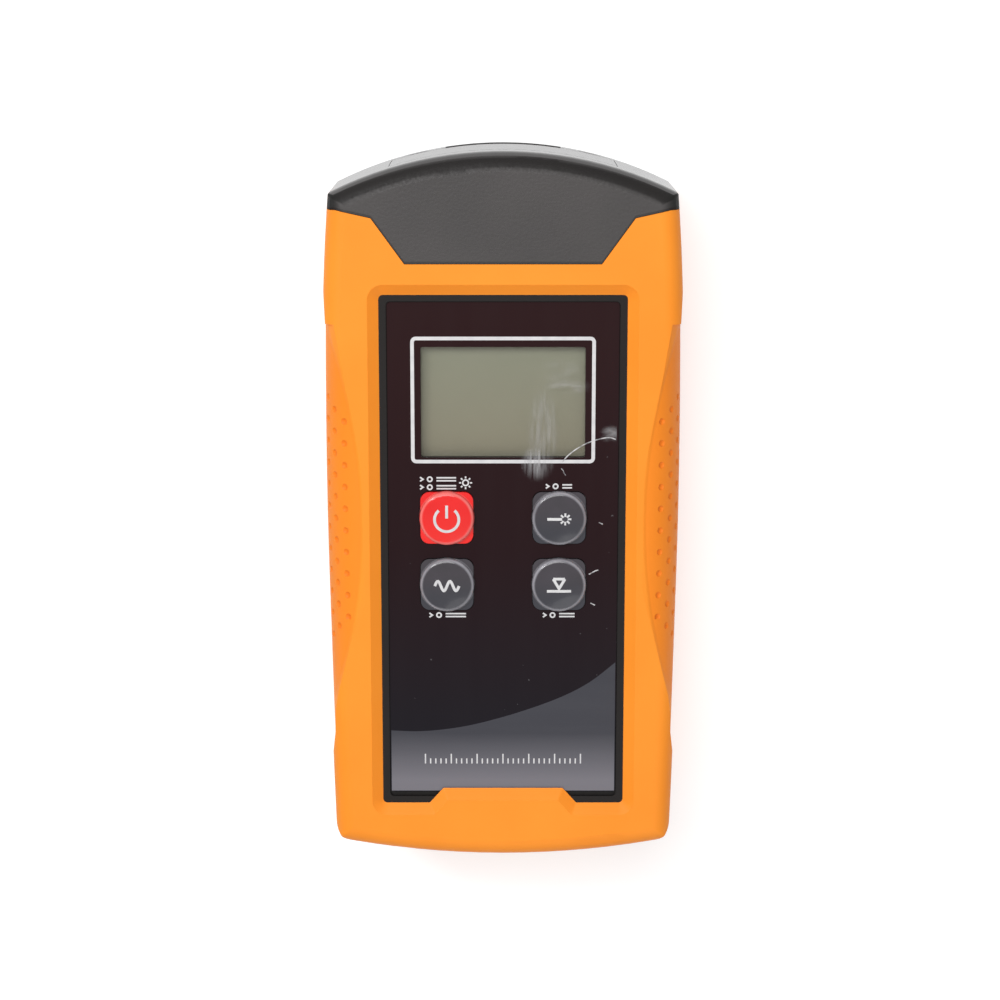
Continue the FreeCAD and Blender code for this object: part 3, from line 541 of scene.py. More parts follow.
plasticLook = {
    "light": (0.034, 0.0295, 0.0285),
    "dark": (0.024, 0.0208, 0.0202),
    # painted shade: a dark reflection painted on the rounded sides
    "side": (0.007, 0.007, 0.0065),
    "sideStart": 34.4,      # mm from the middle
    "sideEnd": 37.6,
    # painted shade: fillets that face a little towards the port end
    "edge": (0.015, 0.0132, 0.0128),
    # painted shadow: a dark line along the seam between the cap and the boot
    "seam": (0.004, 0.002, 0.001),
    "seamWidth": 0.5,       # mm
    "seamFootY": 55.96,
    "seamTopY": 67.6,
    "seamSteep": (1.3806, 26.42),       # slope, and height at the middle line
    "seamShallow": (0.2237, 59.5),
    # painted shadow: the recess shadow on the rim round the overlay
    "rim": (0.012, 0.0105, 0.01),
    "rimTopY": 50.0,     # mm: below it the front shell only shows as a rim round the overlay
    "driftScale": 60.0,
    "grainScale": 1500.0,
    "roughness": (0.42, 0.58),
    "endRoughness": 0.2,
    "endFacing": (0.66, 0.8),       # how squarely an end face points along the meter
    "edgeShadeFacing": (0.04, 0.3),
    "shine": 0.5,
    "dullDrop": 0.35,
    "endSmooth": 0.9,
    "bump": 0.55,
    "bumpDepth": 0.00008,
}


# Fine spark texture all over and a smoother skin on the end faces. On the front shell, painted shade: a dark
# reflection painted on the rounded sides, darker fillets, and painted shadows along the seam with the boot
# and on the rim round the overlay
def plasticFinish(name, look, rim):
    material = plainFinish(name, look)
    shader = principled(material)
    geometry = addNode(material, "ShaderNodeNewGeometry")
    parts = addNode(material, "ShaderNodeSeparateXYZ")
    link(material, geometry.outputs["Normal"], parts.inputs[0])
    facing = stepNode(material, mathNode(material, "ABSOLUTE", parts.outputs["Y"]), *look["endFacing"])
    rough = shader.inputs["Roughness"].links[0].from_socket
    blend = addNode(material, "ShaderNodeMix")
    link(material, facing, blend.inputs[0])
    link(material, rough, blend.inputs[2])
    blend.inputs[3].default_value = look["endRoughness"]
    link(material, blend.outputs[0], shader.inputs["Roughness"])
    bump = shader.inputs["Normal"].links[0].from_node
    strength = mathNode(material, "MULTIPLY_ADD", facing, -look["bump"] * look["endSmooth"], look["bump"])
    link(material, strength, bump.inputs["Strength"])
    color = shader.inputs["Base Color"].links[0].from_socket
    across, along, up = splitPlace(material)
    if rim:
        x = mathNode(material, "MULTIPLY", mathNode(material, "ABSOLUTE", across), 1 / mm)
        y = mathNode(material, "MULTIPLY", along, 1 / mm)
        outside = mathNode(material, "SUBTRACT", 1.0, facing)
        # Painted shade: fillets that face a little towards the port end are darkened
        edge = stepNode(material, parts.outputs["Y"], *look["edgeShadeFacing"])
        edge = mathNode(material, "MULTIPLY", edge, outside)
        # Painted shade: a dark reflection painted on the rounded sides
        sideShade = stepNode(material, x, look["sideStart"], look["sideEnd"])
        sideShade = mathNode(material, "MULTIPLY", sideShade, outside)
        color = mixColor(material, edge, color, look["edge"])
        color = mixColor(material, sideShade, color, look["side"])
        # Painted shadow: a dark line along the seam between the cap and the boot
        steep = mathNode(material, "MULTIPLY_ADD", x, *look["seamSteep"])
        shallow = mathNode(material, "MULTIPLY_ADD", x, *look["seamShallow"])
        seam = mathNode(material, "MINIMUM", mathNode(material, "MINIMUM", steep, shallow), look["seamTopY"])
        seam = mathNode(material, "MAXIMUM", seam, look["seamFootY"])
        overSeam = mathNode(material, "SUBTRACT", y, seam)
        seamShadow = mathNode(material, "LESS_THAN", overSeam, look["seamWidth"])
        color = mixColor(material, seamShadow, color, look["seam"])
        # Painted shadow: the rim round the overlay is darkened
        rimShadow = mathNode(material, "LESS_THAN", y, look["rimTopY"])
        color = mixColor(material, rimShadow, color, look["rim"])
        dull = mathNode(material, "MAXIMUM", mathNode(material, "MAXIMUM", sideShade, edge), rimShadow)
        shine = mathNode(material, "MULTIPLY_ADD", dull, -look["dullDrop"], look["shine"])
        link(material, shine, shader.inputs["Specular IOR Level"])
    link(material, color, shader.inputs["Base Color"])
    return material


plastic = plasticFinish("housingPlastic", plasticLook, False)
frontPlastic = plasticFinish("frontPlastic", plasticLook, True)
for name in ("front_shell", "back_shell", "port_flap", "battery_door", "port_bay", "display_holder"):
    smooth(nodes[name])
    setMaterial(nodes[name], frontPlastic if name == "front_shell" else plastic)
print("stage: shells")

# Front overlay

overlayLook = {
    # the film's dark red tint at the top; the bluish turn towards the foot is a painted reflection
    "top": (0.0185, 0.0046, 0.0054),
    "middle": (0.0130, 0.0028, 0.0042),
    "foot": (0.0066, 0.0058, 0.0095),
    "topY": 47.4,
    "footY": -64.7,
    "hazeColor": (0.6, 0.6, 0.62),
    "streakCover": 0.006,
    "streakScale": 60.0,
    "streakStretch": (3.0, 0.3, 1.0),
    "dustCover": 0.12,
    "dustScale": 900.0,
    "dustStart": 0.78,
    "waveScale": 25.0,
    "waveBump": 0.1,
    "waveDepth": 0.0004,
    "roughness": 0.28,
    "shine": 0.1,
}


def overlayFinish(look):
    material = newMaterial("overlayFilm")
    shader = shaderNode(material, {"Roughness": look["roughness"], "Specular IOR Level": look["shine"]})
    across, along, up = splitPlace(material)
    share = addNode(material, "ShaderNodeMapRange")
    setInputs(share, {"From Min": look["footY"] * mm, "From Max": look["topY"] * mm})
    link(material, along, share.inputs["Value"])
    # The film's own dark red above, a painted bluish reflection towards the foot
    stops = [(0.1, look["foot"]), (0.5, look["middle"]), (0.9, look["top"])]
    base = rampNode(material, share.outputs[0], stops)
    streaks = noiseNode(material, look["streakScale"], 4.0, look["streakStretch"])
    specks = noiseNode(material, look["dustScale"], 2.0)
    dust = mathNode(material, "GREATER_THAN", specks, look["dustStart"])
    haze = mathNode(material, "MULTIPLY", streaks, look["streakCover"])
    haze = mathNode(material, "MULTIPLY_ADD", dust, look["dustCover"], haze)
    color = mixColor(material, haze, base, look["hazeColor"])
    link(material, color, shader.inputs["Base Color"])
    wave = noiseNode(material, look["waveScale"], 2.0)
    link(material, bumpNode(material, wave, look["waveBump"], look["waveDepth"]), shader.inputs["Normal"])
    return material


setMaterial(nodes["front_overlay"], overlayFinish(overlayLook))
print("stage: overlay")

# Display: a clear pane over a grey-green panel

displayLook = {
    "light": (0.186, 0.192, 0.128),
    "dark": (0.172, 0.150, 0.092),
    "viewTopY": 37.5,
    "viewFootY": 12.8,
    "viewHalf": 19.0,
    "edgeShade": (0.135, 0.125, 0.08),
    "edgeWidth": 1.6,
    "grainColor": (0.3, 0.3, 0.2),
    "grainCover": 0.08,
    "grainScale": 700.0,
    "roughness": 0.45,
}

paneLook = {
    "light": (0.56, 0.55, 0.47),
    "dark": (0.5, 0.5, 0.42),
    "driftScale": 80.0,
    "cover": 0.06,
    "roughness": 0.06,
    "shine": 0.3,
    "waveScale": 30.0,
    "waveBump": 0.08,
    "waveDepth": 0.0004,
}


def panelFinish(look):
    material = newMaterial("displayPanel")
    shader = shaderNode(material, {"Roughness": look["roughness"]})
    across, along, up = splitPlace(material)
    share = addNode(material, "ShaderNodeMapRange")
    setInputs(share, {"From Min": look["viewFootY"] * mm, "From Max": look["viewTopY"] * mm})
    link(material, along, share.inputs["Value"])
    base = mixColor(material, share.outputs[0], look["dark"], look["light"])
    fromSide = mathNode(material, "SUBTRACT", look["viewHalf"] * mm, mathNode(material, "ABSOLUTE", across))
    fromTop = mathNode(material, "SUBTRACT", look["viewTopY"] * mm, along)
    fromFoot = mathNode(material, "SUBTRACT", along, look["viewFootY"] * mm)
    nearest = mathNode(material, "MINIMUM", fromSide, mathNode(material, "MINIMUM", fromTop, fromFoot))
    edge = addNode(material, "ShaderNodeMapRange", interpolation_type="SMOOTHSTEP")
    setInputs(edge, {"From Max": look["edgeWidth"] * mm, "To Min": 1.0, "To Max": 0.0})
    link(material, nearest, edge.inputs["Value"])
    base = mixColor(material, edge.outputs["Result"], base, look["edgeShade"])
    grain = noiseNode(material, look["grainScale"], 2.0)
    cover = mathNode(material, "MULTIPLY", grain, look["grainCover"])
    color = mixColor(material, cover, base, look["grainColor"])
    link(material, color, shader.inputs["Base Color"])
    return material


def paneFinish(look):
    material = newMaterial("clearPane")
    values = {"Roughness": look["roughness"], "Alpha": look["cover"], "Specular IOR Level": look["shine"]}
    shader = shaderNode(material, values)
    drift = noiseNode(material, look["driftScale"])
    tint = rampNode(material, drift, [(0.3, look["dark"]), (0.7, look["light"])])
    link(material, tint, shader.inputs["Base Color"])
    wave = noiseNode(material, look["waveScale"], 2.0)
    link(material, bumpNode(material, wave, look["waveBump"], look["waveDepth"]), shader.inputs["Normal"])
    material.surface_render_method = "BLENDED"
    return material


setMaterial(nodes["display_glass"], panelFinish(displayLook))
setMaterial(nodes["display_window"], paneFinish(paneLook))
print("stage: display")

# Keys

keyLook = {
    "redLight": (0.84, 0.008, 0.007),
    "redDark": (0.77, 0.006, 0.005),
    # the Low colours are a painted reflection tint on the dome's lower part
    "redLowReflection": (0.84, 0.012, 0.008),
    # the Rim colours are a painted reflection, a lighter ring at the dome's edge
    "redRim": (1.0, 0.30, 0.27),
    "greyLight": (0.048, 0.040, 0.050),
    "greyDark": (0.036, 0.031, 0.037),
    "greyLowReflection": (0.030, 0.030, 0.040),
    "greyRim": (0.44, 0.43, 0.47),
    "domeRadius": 6.1,      # mm
    "rimInset": 0.3,        # mm
    "rimWidth": 0.6,        # mm
    "rimReflectionStrength": 0.7,
    "patchScale": 260.0,
    "patchLift": 0.4,
    "changeLowY": -4.0,     # mm from the key's middle
    "changeHighY": 3.0,
    "coat": 0.35,
    "coatRoughness": 0.05,
    "shine": 0.3,
    "driftScale": 180.0,
    "grainScale": 500.0,
    "roughness": (0.1, 0.18),
    "bump": 0.04,
    "bumpDepth": 0.0001,
}


# A clear-looking dome: a painted reflection makes a lighter ring at its edge, and its lower part takes a
# painted reflection tint
def keyFinish(nodeName, look):
    tone = "red" if nodeName == "power_key" else "grey"
    material = plainFinish(nodeName + "Finish", {
        **look, "light": look[tone + "Light"], "dark": look[tone + "Dark"],
        "shader": {"Coat Weight": look["coat"], "Coat Roughness": look["coatRoughness"],
                   "Specular IOR Level": look["shine"]},
    })
    low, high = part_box(nodeName)
    across, along, up = splitPlace(material)
    offX = mathNode(material, "SUBTRACT", across, (low.x + high.x) / 2)
    offY = mathNode(material, "SUBTRACT", along, (low.y + high.y) / 2)
    squares = mathNode(material, "ADD", mathNode(material, "MULTIPLY", offX, offX),
                       mathNode(material, "MULTIPLY", offY, offY))
    fromEdge = mathNode(material, "SUBTRACT", look["domeRadius"] * mm, mathNode(material, "SQRT", squares))
    # Painted reflection: a lighter ring just inside the dome's edge
    ring = addNode(material, "ShaderNodeMapRange", interpolation_type="SMOOTHSTEP")
    setInputs(ring, {"From Max": look["rimWidth"] * mm, "To Min": look["rimReflectionStrength"], "To Max": 0.0})
    inward = mathNode(material, "ABSOLUTE", mathNode(material, "SUBTRACT", fromEdge, look["rimInset"] * mm))
    link(material, inward, ring.inputs["Value"])
    patchy = noiseNode(material, look["patchScale"], 2.0)
    patchy = mathNode(material, "ADD", patchy, look["patchLift"])
    share = mathNode(material, "MULTIPLY", ring.outputs["Result"], patchy)
    finish = principled(material)
    base = finish.inputs["Base Color"].links[0].from_socket
    # Painted reflection: the lower part of the dome takes the Low tint
    upper = stepNode(material, offY, look["changeLowY"] * mm, look["changeHighY"] * mm)
    base = mixColor(material, upper, look[tone + "LowReflection"], base)
    link(material, mixColor(material, share, base, look[tone + "Rim"]), finish.inputs["Base Color"])
    return material


for name in ("power_key", "laser_key", "wavelength_key", "reference_key"):
    smooth(nodes[name], 40)
    setMaterial(nodes[name], keyFinish(name, keyLook))
print("stage: keys")

# Pieces inside and behind the flap

insideLooks = {
    "boardGreen": {
        "nodes": ("main_board", "detector_board"),
        "light": (0.02, 0.16, 0.06), "dark": (0.012, 0.11, 0.04),
        "driftScale": 300.0, "grainScale": 900.0,
        "roughness": (0.3, 0.45), "bump": 0.2, "bumpDepth": 0.00003,
    },
    "chipBlack": {
        "nodes": ("controller_chip", "amplifier_chip", "power_switch", "laser_switch", "wavelength_switch",
                  "reference_switch", "display_contact_strips"),
        "light": (0.03, 0.03, 0.032), "dark": (0.018, 0.018, 0.019),
        "driftScale": 400.0, "grainScale": 2500.0,
        "roughness": (0.45, 0.6), "bump": 0.3, "bumpDepth": 0.00003,
    },
    "steelBright": {
        "nodes": ("board_screws", "case_screws", "adapter_screws", "flap_pin", "crystal", "photodiode"),
        "light": (0.62, 0.61, 0.6), "dark": (0.48, 0.47, 0.46), "driftScale": 500.0, "grainScale": 1500.0,
        "roughness": (0.25, 0.4), "bump": 0.1, "bumpDepth": 0.00003, "shader": {"Metallic": 1.0},
    },
    "nickelTurned": {
        "nodes": ("detector_adapter", "laser_adapter", "contacts_top", "contacts_foot"),
        "light": (0.7, 0.67, 0.62), "dark": (0.55, 0.52, 0.48), "driftScale": 300.0, "grainScale": 1200.0,
        "roughness": (0.2, 0.34), "bump": 0.15, "bumpDepth": 0.00003, "stretch": (1, 12, 1),
        "shader": {"Metallic": 1.0},
    },
    "sleeveCeramic": {
        "nodes": ("laser_sleeve",),
        "light": (0.9, 0.89, 0.86), "dark": (0.84, 0.82, 0.78), "driftScale": 400.0, "grainScale": 1500.0,
        "roughness": (0.2, 0.3), "bump": 0.05, "bumpDepth": 0.00002,
    },
    "moduleBrass": {
        "nodes": ("laser_module",),
        "light": (0.72, 0.52, 0.22), "dark": (0.55, 0.38, 0.14), "driftScale": 250.0, "grainScale": 1200.0,
        "roughness": (0.25, 0.4), "bump": 0.1, "bumpDepth": 0.00003, "stretch": (1, 12, 1),
        "shader": {"Metallic": 1.0},
    },
    "diffuserWhite": {
        "nodes": ("display_light",),
        "light": (0.86, 0.87, 0.85), "dark": (0.8, 0.81, 0.79), "driftScale": 200.0, "grainScale": 900.0,
        "roughness": (0.5, 0.65), "bump": 0.1, "bumpDepth": 0.00003,
    },
    "cellWrap": {
        "nodes": ("battery_1", "battery_2", "battery_3"),
        "light": (0.03, 0.1, 0.32), "dark": (0.02, 0.07, 0.24), "driftScale": 120.0, "grainScale": 600.0,
        "roughness": (0.2, 0.35), "bump": 0.05, "bumpDepth": 0.00003,
    },
}

for name, look in insideLooks.items():
    material = plainFinish(name, look)
    for nodeName in look["nodes"]:
        smooth(nodes[nodeName])
        setMaterial(nodes[nodeName], material)
print("stage: inside")

# Print on the overlay and on the keys

printLook = {
    "light": (0.70, 0.69, 0.69),
    "dark": (0.60, 0.59, 0.60),
    "driftScale": 500.0,
    "grainScale": 1500.0,
    "roughness": (0.35, 0.5),
    "bump": 0.05,
    "bumpDepth": 0.00002,
    "lift": 0.03,           # mm above what it is printed on
    "frameHalf": 20.35,
    "frameTopY": 39.77,
    "frameFootY": 11.5,
    "frameWidth": 0.8,
    "frameCorner": 1.2,
}


# Points on an arc, its angles in degrees
def arcPoints(x, y, radius, start, end, count):
    angles = [math.radians(start + (end - start) * i / (count - 1)) for i in range(count)]
    return [(x + radius * math.cos(a), y + radius * math.sin(a)) for a in angles]


# A flat band along a path, as points and four-cornered faces
def ribbon(path, width, closed=False):
    count = len(path)
    points = []
    for i in range(count):
        before = path[i - 1] if closed or i else path[i]
        after = path[(i + 1) % count] if closed or i < count - 1 else path[i]
        first = Vector(path[i]) - Vector(before)
        second = Vector(after) - Vector(path[i])
        first = first.normalized() if first.length else second.normalized()
        second = second.normalized() if second.length else first
        lean = (first + second).normalized()
        side = Vector((-lean.y, lean.x))
        reach = width / 2 / max(0.4, side.dot(Vector((-first.y, first.x))))
        points.append(Vector(path[i]) + side * reach)
        points.append(Vector(path[i]) - side * reach)
    faces = []
    for i in range(count if closed else count - 1):
        j = (i + 1) % count
        faces.append((2 * i + 1, 2 * j + 1, 2 * j, 2 * i))
    return points, faces


def circleBand(x, y, radius, width, count=24):
    return ribbon(arcPoints(x, y, radius, 0, 360 - 360 / count, count), width, True)


def roundedFrame(half, low, high, corner, count=6):
    path = arcPoints(half - corner, high - corner, corner, 90, 0, count)
    path += arcPoints(half - corner, low + corner, corner, 0, -90, count)
    path += arcPoints(-half + corner, low + corner, corner, 270, 180, count)
    path += arcPoints(-half + corner, high - corner, corner, 180, 90, count)
    return path[::-1]


def flatPrint(name, shapes, material, lift=0.0):
    points, faces = joined(shapes)
    level = overlayTop + printLook["lift"] + lift
    return addMesh(name, [(x, y, level) for x, y in points], faces, material, "housing")


printWhite = plainFinish("printWhite", printLook)
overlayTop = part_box("front_overlay")[1].z / mm

inset = printLook["frameWidth"] / 2
frameShape = ribbon(roundedFrame(
    printLook["frameHalf"] - inset, printLook["frameFootY"] + inset, printLook["frameTopY"] - inset,
    printLook["frameCorner"] - inset), printLook["frameWidth"], True)
flatPrint("displayFrameLine", [frameShape], printWhite)

labelLook = {
    "line": 0.34,
    "height": 1.35,
    "chevronTall": 0.7,     # shares of half the height
    "barsTall": 0.5,
    "ringAt": 3.2,
    "barsAt": 5.4,
    # Each row of marks: the x and y of its middle, and its width
    "power": [(-14.4, 7.9, 8.0), (-14.4, 6.1, 8.0)],
    "laser": [(12.4, 6.3, 5.8)],
    "wavelength": [(-12.4, -23.2, 8.2)],
    "reference": [(12.5, -23.2, 7.1)],
    "lamp": (-8.3, 7.1, 2.9),       # x, y and size
    "lampRays": 8,
    "lampRing": 0.22,       # shares of the lamp mark's size
    "lampNear": 0.34,
    "lampFar": 0.5,
    "scaleY": -56.9,
    "scaleHalf": 17.6,
    "scaleTicks": 31,
    "longEvery": 5,
    "longTick": 1.15,
    "shortTick": 0.6,
    "tickLine": 0.3,
}


# A chevron, a ring and two bars in each row: a generic hint beside a key
def labelMarks(look, rows):
    tall = look["height"] / 2
    line = look["line"]
    shapes = []
    for x, y, width in rows:
        left = x - width / 2
        rise = tall * look["chevronTall"]
        shapes.append(ribbon([(left, y + rise), (left + tall, y), (left, y - rise)], line))
        shapes.append(circleBand(left + look["ringAt"] * tall, y, tall - line / 2, line))
        barLeft = left + look["barsAt"] * tall
        rise = tall * look["barsTall"]
        shapes.append(ribbon([(barLeft, y + rise), (x + width / 2, y + rise)], line))
        shapes.append(ribbon([(barLeft, y - rise), (x + width / 2, y - rise)], line))
    return shapes


def lampMark(look):
    x, y, size = look["lamp"]
    near, far = size * look["lampNear"], size * look["lampFar"]
    shapes = [circleBand(x, y, size * look["lampRing"], look["line"])]
    for i in range(look["lampRays"]):
        a = math.radians(360 / look["lampRays"] * i)
        inner = (x + near * math.cos(a), y + near * math.sin(a))
        outer = (x + far * math.cos(a), y + far * math.sin(a))
        shapes.append(ribbon([inner, outer], look["line"]))
    return shapes


def tickScale(look):
    shapes = []
    for i in range(look["scaleTicks"]):
        x = -look["scaleHalf"] + 2 * look["scaleHalf"] * i / (look["scaleTicks"] - 1)
        tall = look["shortTick"] if i % look["longEvery"] else look["longTick"]
        foot = look["scaleY"] - look["longTick"]
        shapes.append(ribbon([(x, foot), (x, foot + 2 * tall)], look["tickLine"]))
    return shapes


flatPrint("labelPower", labelMarks(labelLook, labelLook["power"]), printWhite)
flatPrint("labelLamp", lampMark(labelLook), printWhite)
flatPrint("labelLaser", labelMarks(labelLook, labelLook["laser"]), printWhite)
flatPrint("labelWavelength", labelMarks(labelLook, labelLook["wavelength"]), printWhite)
flatPrint("labelReference", labelMarks(labelLook, labelLook["reference"]), printWhite)
flatPrint("footScale", tickScale(labelLook), printWhite)

# Lighter sweep across the foot of the overlay

sweepLook = {
    "curve": [(-25.3, -50.2), (-19, -50.4), (-12.2, -49.8), (-5.4, -48.5), (3.6, -45.9), (12.7, -42.5),
              (19.45, -38.9), (25.3, -34.2)],
    "footY": -64.5,
    "changeLowY": -62.0,
    "changeHighY": -51.0,
    "upper": (0.030, 0.030, 0.040),
    "lower": (0.165, 0.158, 0.180),
    "brushColor": (0.4, 0.4, 0.42),
    "brushCover": 0.04,
    "brushScale": 300.0,
    "brushStretch": (0.1, 1.0, 1.0),
    "roughness": 0.3,
    "shine": 0.3,
    "lift": -0.015,         # mm: under the print, over the overlay
}


def sweepFinish(look):
    material = newMaterial("sweepGrey")
    shader = shaderNode(material, {"Roughness": look["roughness"], "Specular IOR Level": look["shine"]})
    across, along, up = splitPlace(material)
    share = addNode(material, "ShaderNodeMapRange")
    setInputs(share, {"From Min": look["changeLowY"] * mm, "From Max": look["changeHighY"] * mm})
    link(material, along, share.inputs["Value"])
    base = mixColor(material, share.outputs[0], look["lower"], look["upper"])
    brush = noiseNode(material, look["brushScale"], 3.0, look["brushStretch"])
    cover = mathNode(material, "MULTIPLY", brush, look["brushCover"])
    color = mixColor(material, cover, base, look["brushColor"])
    link(material, color, shader.inputs["Base Color"])
    return material


# A smooth line through the given points, with a few steps between each two
def smoothLine(path, steps=6):
    out = []
    count = len(path)
    for i in range(count - 1):
        a, b, c, d = [Vector(path[min(max(j, 0), count - 1)]) for j in (i - 1, i, i + 1, i + 2)]
        for k in range(steps):
            t = k / steps
            squarePart = (2 * a - 5 * b + 4 * c - d) * t ** 2
            cubePart = (3 * b - a - 3 * c + d) * t ** 3
            out.append(tuple(b + ((c - a) * t + squarePart + cubePart) / 2))
    return out + [tuple(path[-1])]


def sweepShape(look):
    top = smoothLine(look["curve"])
    points = []
    for x, y in top:
        points += [(x, y), (x, look["footY"])]
    faces = [(2 * i, 2 * i + 1, 2 * i + 3, 2 * i + 2) for i in range(len(top) - 1)]
    return points, faces


flatPrint("footSweep", [sweepShape(sweepLook)], sweepFinish(sweepLook), sweepLook["lift"])

# Wear: a curved scratch, brushed smears and short marks beside the display

wearLook = {
    "color": (0.42, 0.41, 0.43),
    "bright": (0.80, 0.79, 0.79),
    "scratch": [(13.2, 11.9), (14.3, 13.2), (15.9, 14.5), (17.5, 15.5), (19.2, 16.3), (21.4, 17.0),
                (23.4, 17.3), (24.9, 16.9)],
    "scratchWidth": 0.24,
    "scratchLift": 0.03,        # mm above the print
    "scratchScale": 900.0,
    "scratchCover": (0.25, 0.95),
    "scratchShine": 0.1,
    "roughness": 0.5,
    "marks": [
        [(12.9, 10.3), (13.3, 9.9), (13.5, 9.3), (13.9, 8.8)],
        [(21.3, -1.9), (22.2, -2.3)],
        [(19.2, -13.8), (20.6, -13.0), (21.3, -12.8)],
        [(19.6, -20.4), (20.6, -20.9)],
    ],
    "sheet": (2.5, 25.1, 5.8, 36.8),     # low and high x, low and high y
    "sheetLift": 0.01,
    "smearScale": 450.0,
    # Each smear: middle x and y, half width and half height, strength, and how fine its streaks are each way
    "smears": [
        (8.8, 19.0, 4.6, 13.0, 0.24, (3.2, 0.25, 1.0)),
        (7.6, 11.8, 4.6, 5.4, 0.46, (3.6, 0.25, 1.0)),
        (12.8, 32.0, 6.0, 4.0, 0.12, (0.6, 1.0, 1.0)),
        (14.0, 28.7, 7.0, 2.3, 0.30, (0.35, 1.4, 1.0)),
        (23.9, 18.0, 3.4, 2.6, 0.34, (0.6, 1.2, 1.0)),
    ],
}


def scratchFinish(look):
    material = newMaterial("scratchBright")
    values = {"Roughness": look["roughness"], "Specular IOR Level": look["scratchShine"]}
    shader = shaderNode(material, values)
    fine = noiseNode(material, look["scratchScale"], 3.0)
    link(material, mixColor(material, fine, look["color"], look["bright"]), shader.inputs["Base Color"])
    cover = addNode(material, "ShaderNodeMapRange")
    low, high = look["scratchCover"]
    setInputs(cover, {"From Min": 0.3, "From Max": 0.6, "To Min": low, "To Max": high})
    link(material, fine, cover.inputs["Value"])
    link(material, cover.outputs["Result"], shader.inputs["Alpha"])
    material.surface_render_method = "BLENDED"
    return material


# How strongly one smear covers the sheet: streaks that fade out towards the edge of an oval
def smearCover(material, smear, scale):
    x, y, halfX, halfY, strength, stretch = smear
    across, along, up = splitPlace(material)
    offX = mathNode(material, "MULTIPLY_ADD", across, 1 / (halfX * mm), -x / halfX)
    offY = mathNode(material, "MULTIPLY_ADD", along, 1 / (halfY * mm), -y / halfY)
    squares = mathNode(material, "ADD", mathNode(material, "MULTIPLY", offX, offX),
                       mathNode(material, "MULTIPLY", offY, offY))
    fade = mathNode(material, "SUBTRACT", 1.0, stepNode(material, squares, 0.0, 0.9))
    fade = mathNode(material, "MULTIPLY", mathNode(material, "POWER", fade, 2.0), strength)
    streak = stepNode(material, noiseNode(material, scale, 3.0, stretch), 0.28, 0.68)
    return mathNode(material, "MULTIPLY", fade, streak)


def smearFinish(look):
    material = newMaterial("smearSheet")
    shader = shaderNode(material, {"Roughness": look["roughness"], "Specular IOR Level": 0.0})
    fine = noiseNode(material, look["smearScale"], 3.0)
    link(material, mixColor(material, fine, look["color"], look["bright"]), shader.inputs["Base Color"])
    cover = 0.0
    for smear in look["smears"]:
        cover = mathNode(material, "MAXIMUM", cover, smearCover(material, smear, look["smearScale"]))
    link(material, cover, shader.inputs["Alpha"])
    material.surface_render_method = "BLENDED"
    return material


scratchPaths = [wearLook["scratch"]] + wearLook["marks"]
scratches = [ribbon(smoothLine(path, 3), wearLook["scratchWidth"]) for path in scratchPaths]
flatPrint("wearScratch", scratches, scratchFinish(wearLook), wearLook["scratchLift"])
lowX, highX, lowY, highY = wearLook["sheet"]
sheet = [(lowX, lowY), (highX, lowY), (highX, highY), (lowX, highY)]
flatPrint("wearSmears", [(sheet, [(0, 1, 2, 3)])], smearFinish(wearLook), wearLook["sheetLift"])
print("stage: wear")

# Symbols on the key domes

symbolLook = {
    "size": 2.7,
    "line": 0.62,
    "crownRise": 0.35,
    "crownRadius": 6.1,
    "powerGap": 40.0,       # degrees on each side of the stem
    "powerY": -0.1,
    "stemTop": 0.4,         # mm past the ring
    "stemFoot": 0.2,
    "waveHeight": 1.1,
    "waveCount": 2,
    "waveSteps": 30,
    "starX": 1.3,
    "starNear": 0.55,
    "starFar": 1.35,
    "starLine": 0.7,        # share of the other lines
    "beamEnd": 0.6,
    "baseY": -1.2,
    "arrowHalf": 1.3,
    "arrowTopY": 1.6,
    "arrowFootY": -0.6,
}


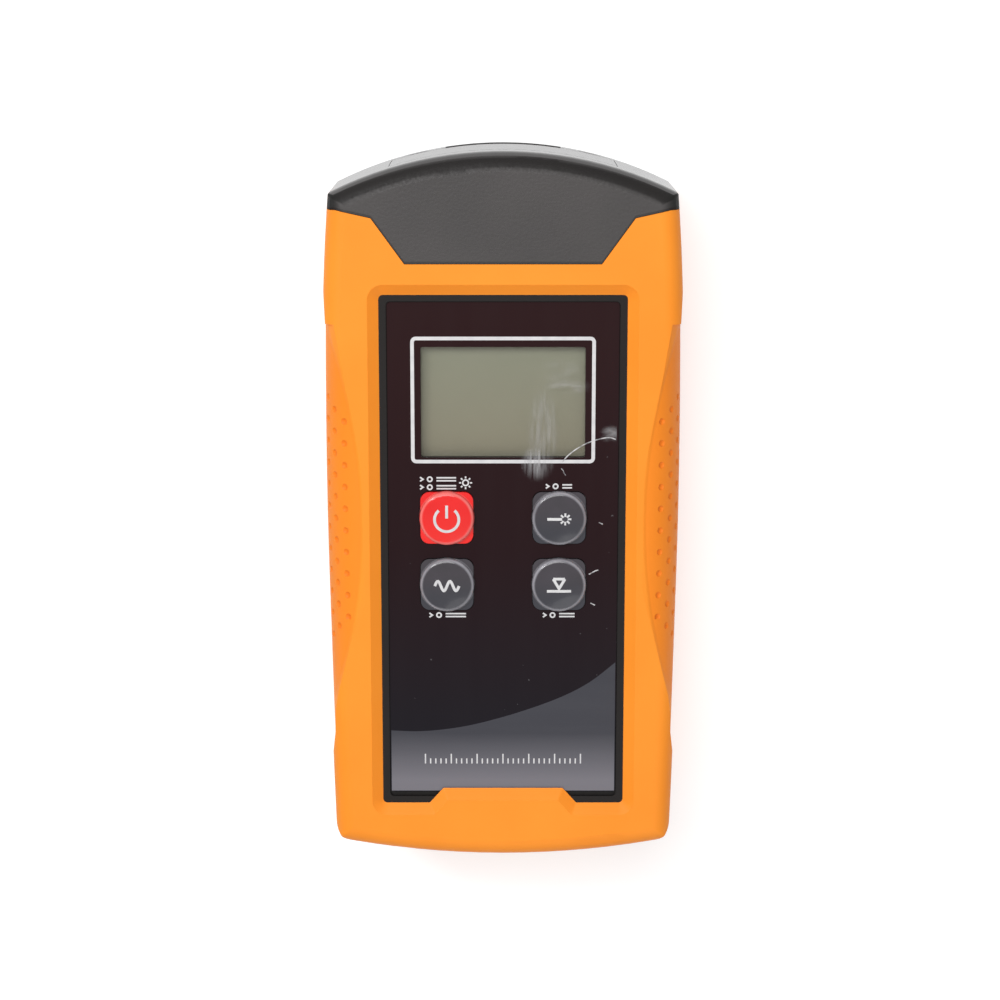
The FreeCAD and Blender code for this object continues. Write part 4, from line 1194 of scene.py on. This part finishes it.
# Lays a flat shape on the key's crown
def onDome(keyName, shapes, name):
    low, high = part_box(keyName)
    x0 = (low.x + high.x) / 2 / mm
    y0 = (low.y + high.y) / 2 / mm
    top = high.z / mm
    rise, radius = symbolLook["crownRise"], symbolLook["crownRadius"]
    ball = (radius ** 2 + rise ** 2) / (2 * rise)
    points, faces = joined(shapes)
    placed = []
    for x, y in points:
        drop = ball - math.sqrt(ball ** 2 - x * x - y * y)
        placed.append((x0 + x, y0 + y, top - drop + printLook["lift"]))
    return addMesh(name, placed, faces, printWhite, keyName + "_body")


# The path with extra points along each stretch, so that it can follow a curved surface
def finer(path, steps):
    out = []
    for a, b in zip(path, path[1:]):
        for i in range(steps):
            out.append((a[0] + (b[0] - a[0]) * i / steps, a[1] + (b[1] - a[1]) * i / steps))
    return out + [path[-1]]


def powerSymbol(look):
    stem = [(0, look["size"] + look["stemTop"]), (0, look["stemFoot"])]
    arc = arcPoints(0, look["powerY"], look["size"], 90 + look["powerGap"], 450 - look["powerGap"], 40)
    return [ribbon(arc, look["line"]), ribbon(finer(stem, 5), look["line"])]


def waveSymbol(look):
    size, steps = look["size"], look["waveSteps"]
    path = []
    for i in range(steps + 1):
        turn = 2 * math.pi * look["waveCount"] * i / steps
        path.append((-size + 2 * size * i / steps, look["waveHeight"] * math.sin(turn)))
    return [ribbon(path, look["line"])]


def laserSymbol(look):
    x, near, far = look["starX"], look["starNear"], look["starFar"]
    shapes = [ribbon(finer([(-look["size"], 0), (look["beamEnd"], 0)], 5), look["line"])]
    for degrees in (0, 45, 90, 135, 225, 270, 315):
        a = math.radians(degrees)
        ray = [(x + near * math.cos(a), near * math.sin(a)), (x + far * math.cos(a), far * math.sin(a))]
        shapes.append(ribbon(finer(ray, 2), look["line"] * look["starLine"]))
    return shapes


def levelSymbol(look):
    size, half, top = look["size"], look["arrowHalf"], look["arrowTopY"]
    base = [(-size, look["baseY"]), (size, look["baseY"])]
    arrow = [(-half, top), (0, look["arrowFootY"]), (half, top)]
    paths = [finer(base, 6), finer(arrow, 4), finer([arrow[0], arrow[2]], 4)]
    return [ribbon(path, look["line"]) for path in paths]


onDome("power_key", powerSymbol(symbolLook), "symbolPower")
onDome("wavelength_key", waveSymbol(symbolLook), "symbolWave")
onDome("laser_key", laserSymbol(symbolLook), "symbolLaser")
onDome("reference_key", levelSymbol(symbolLook), "symbolReference")
print("stage: print")
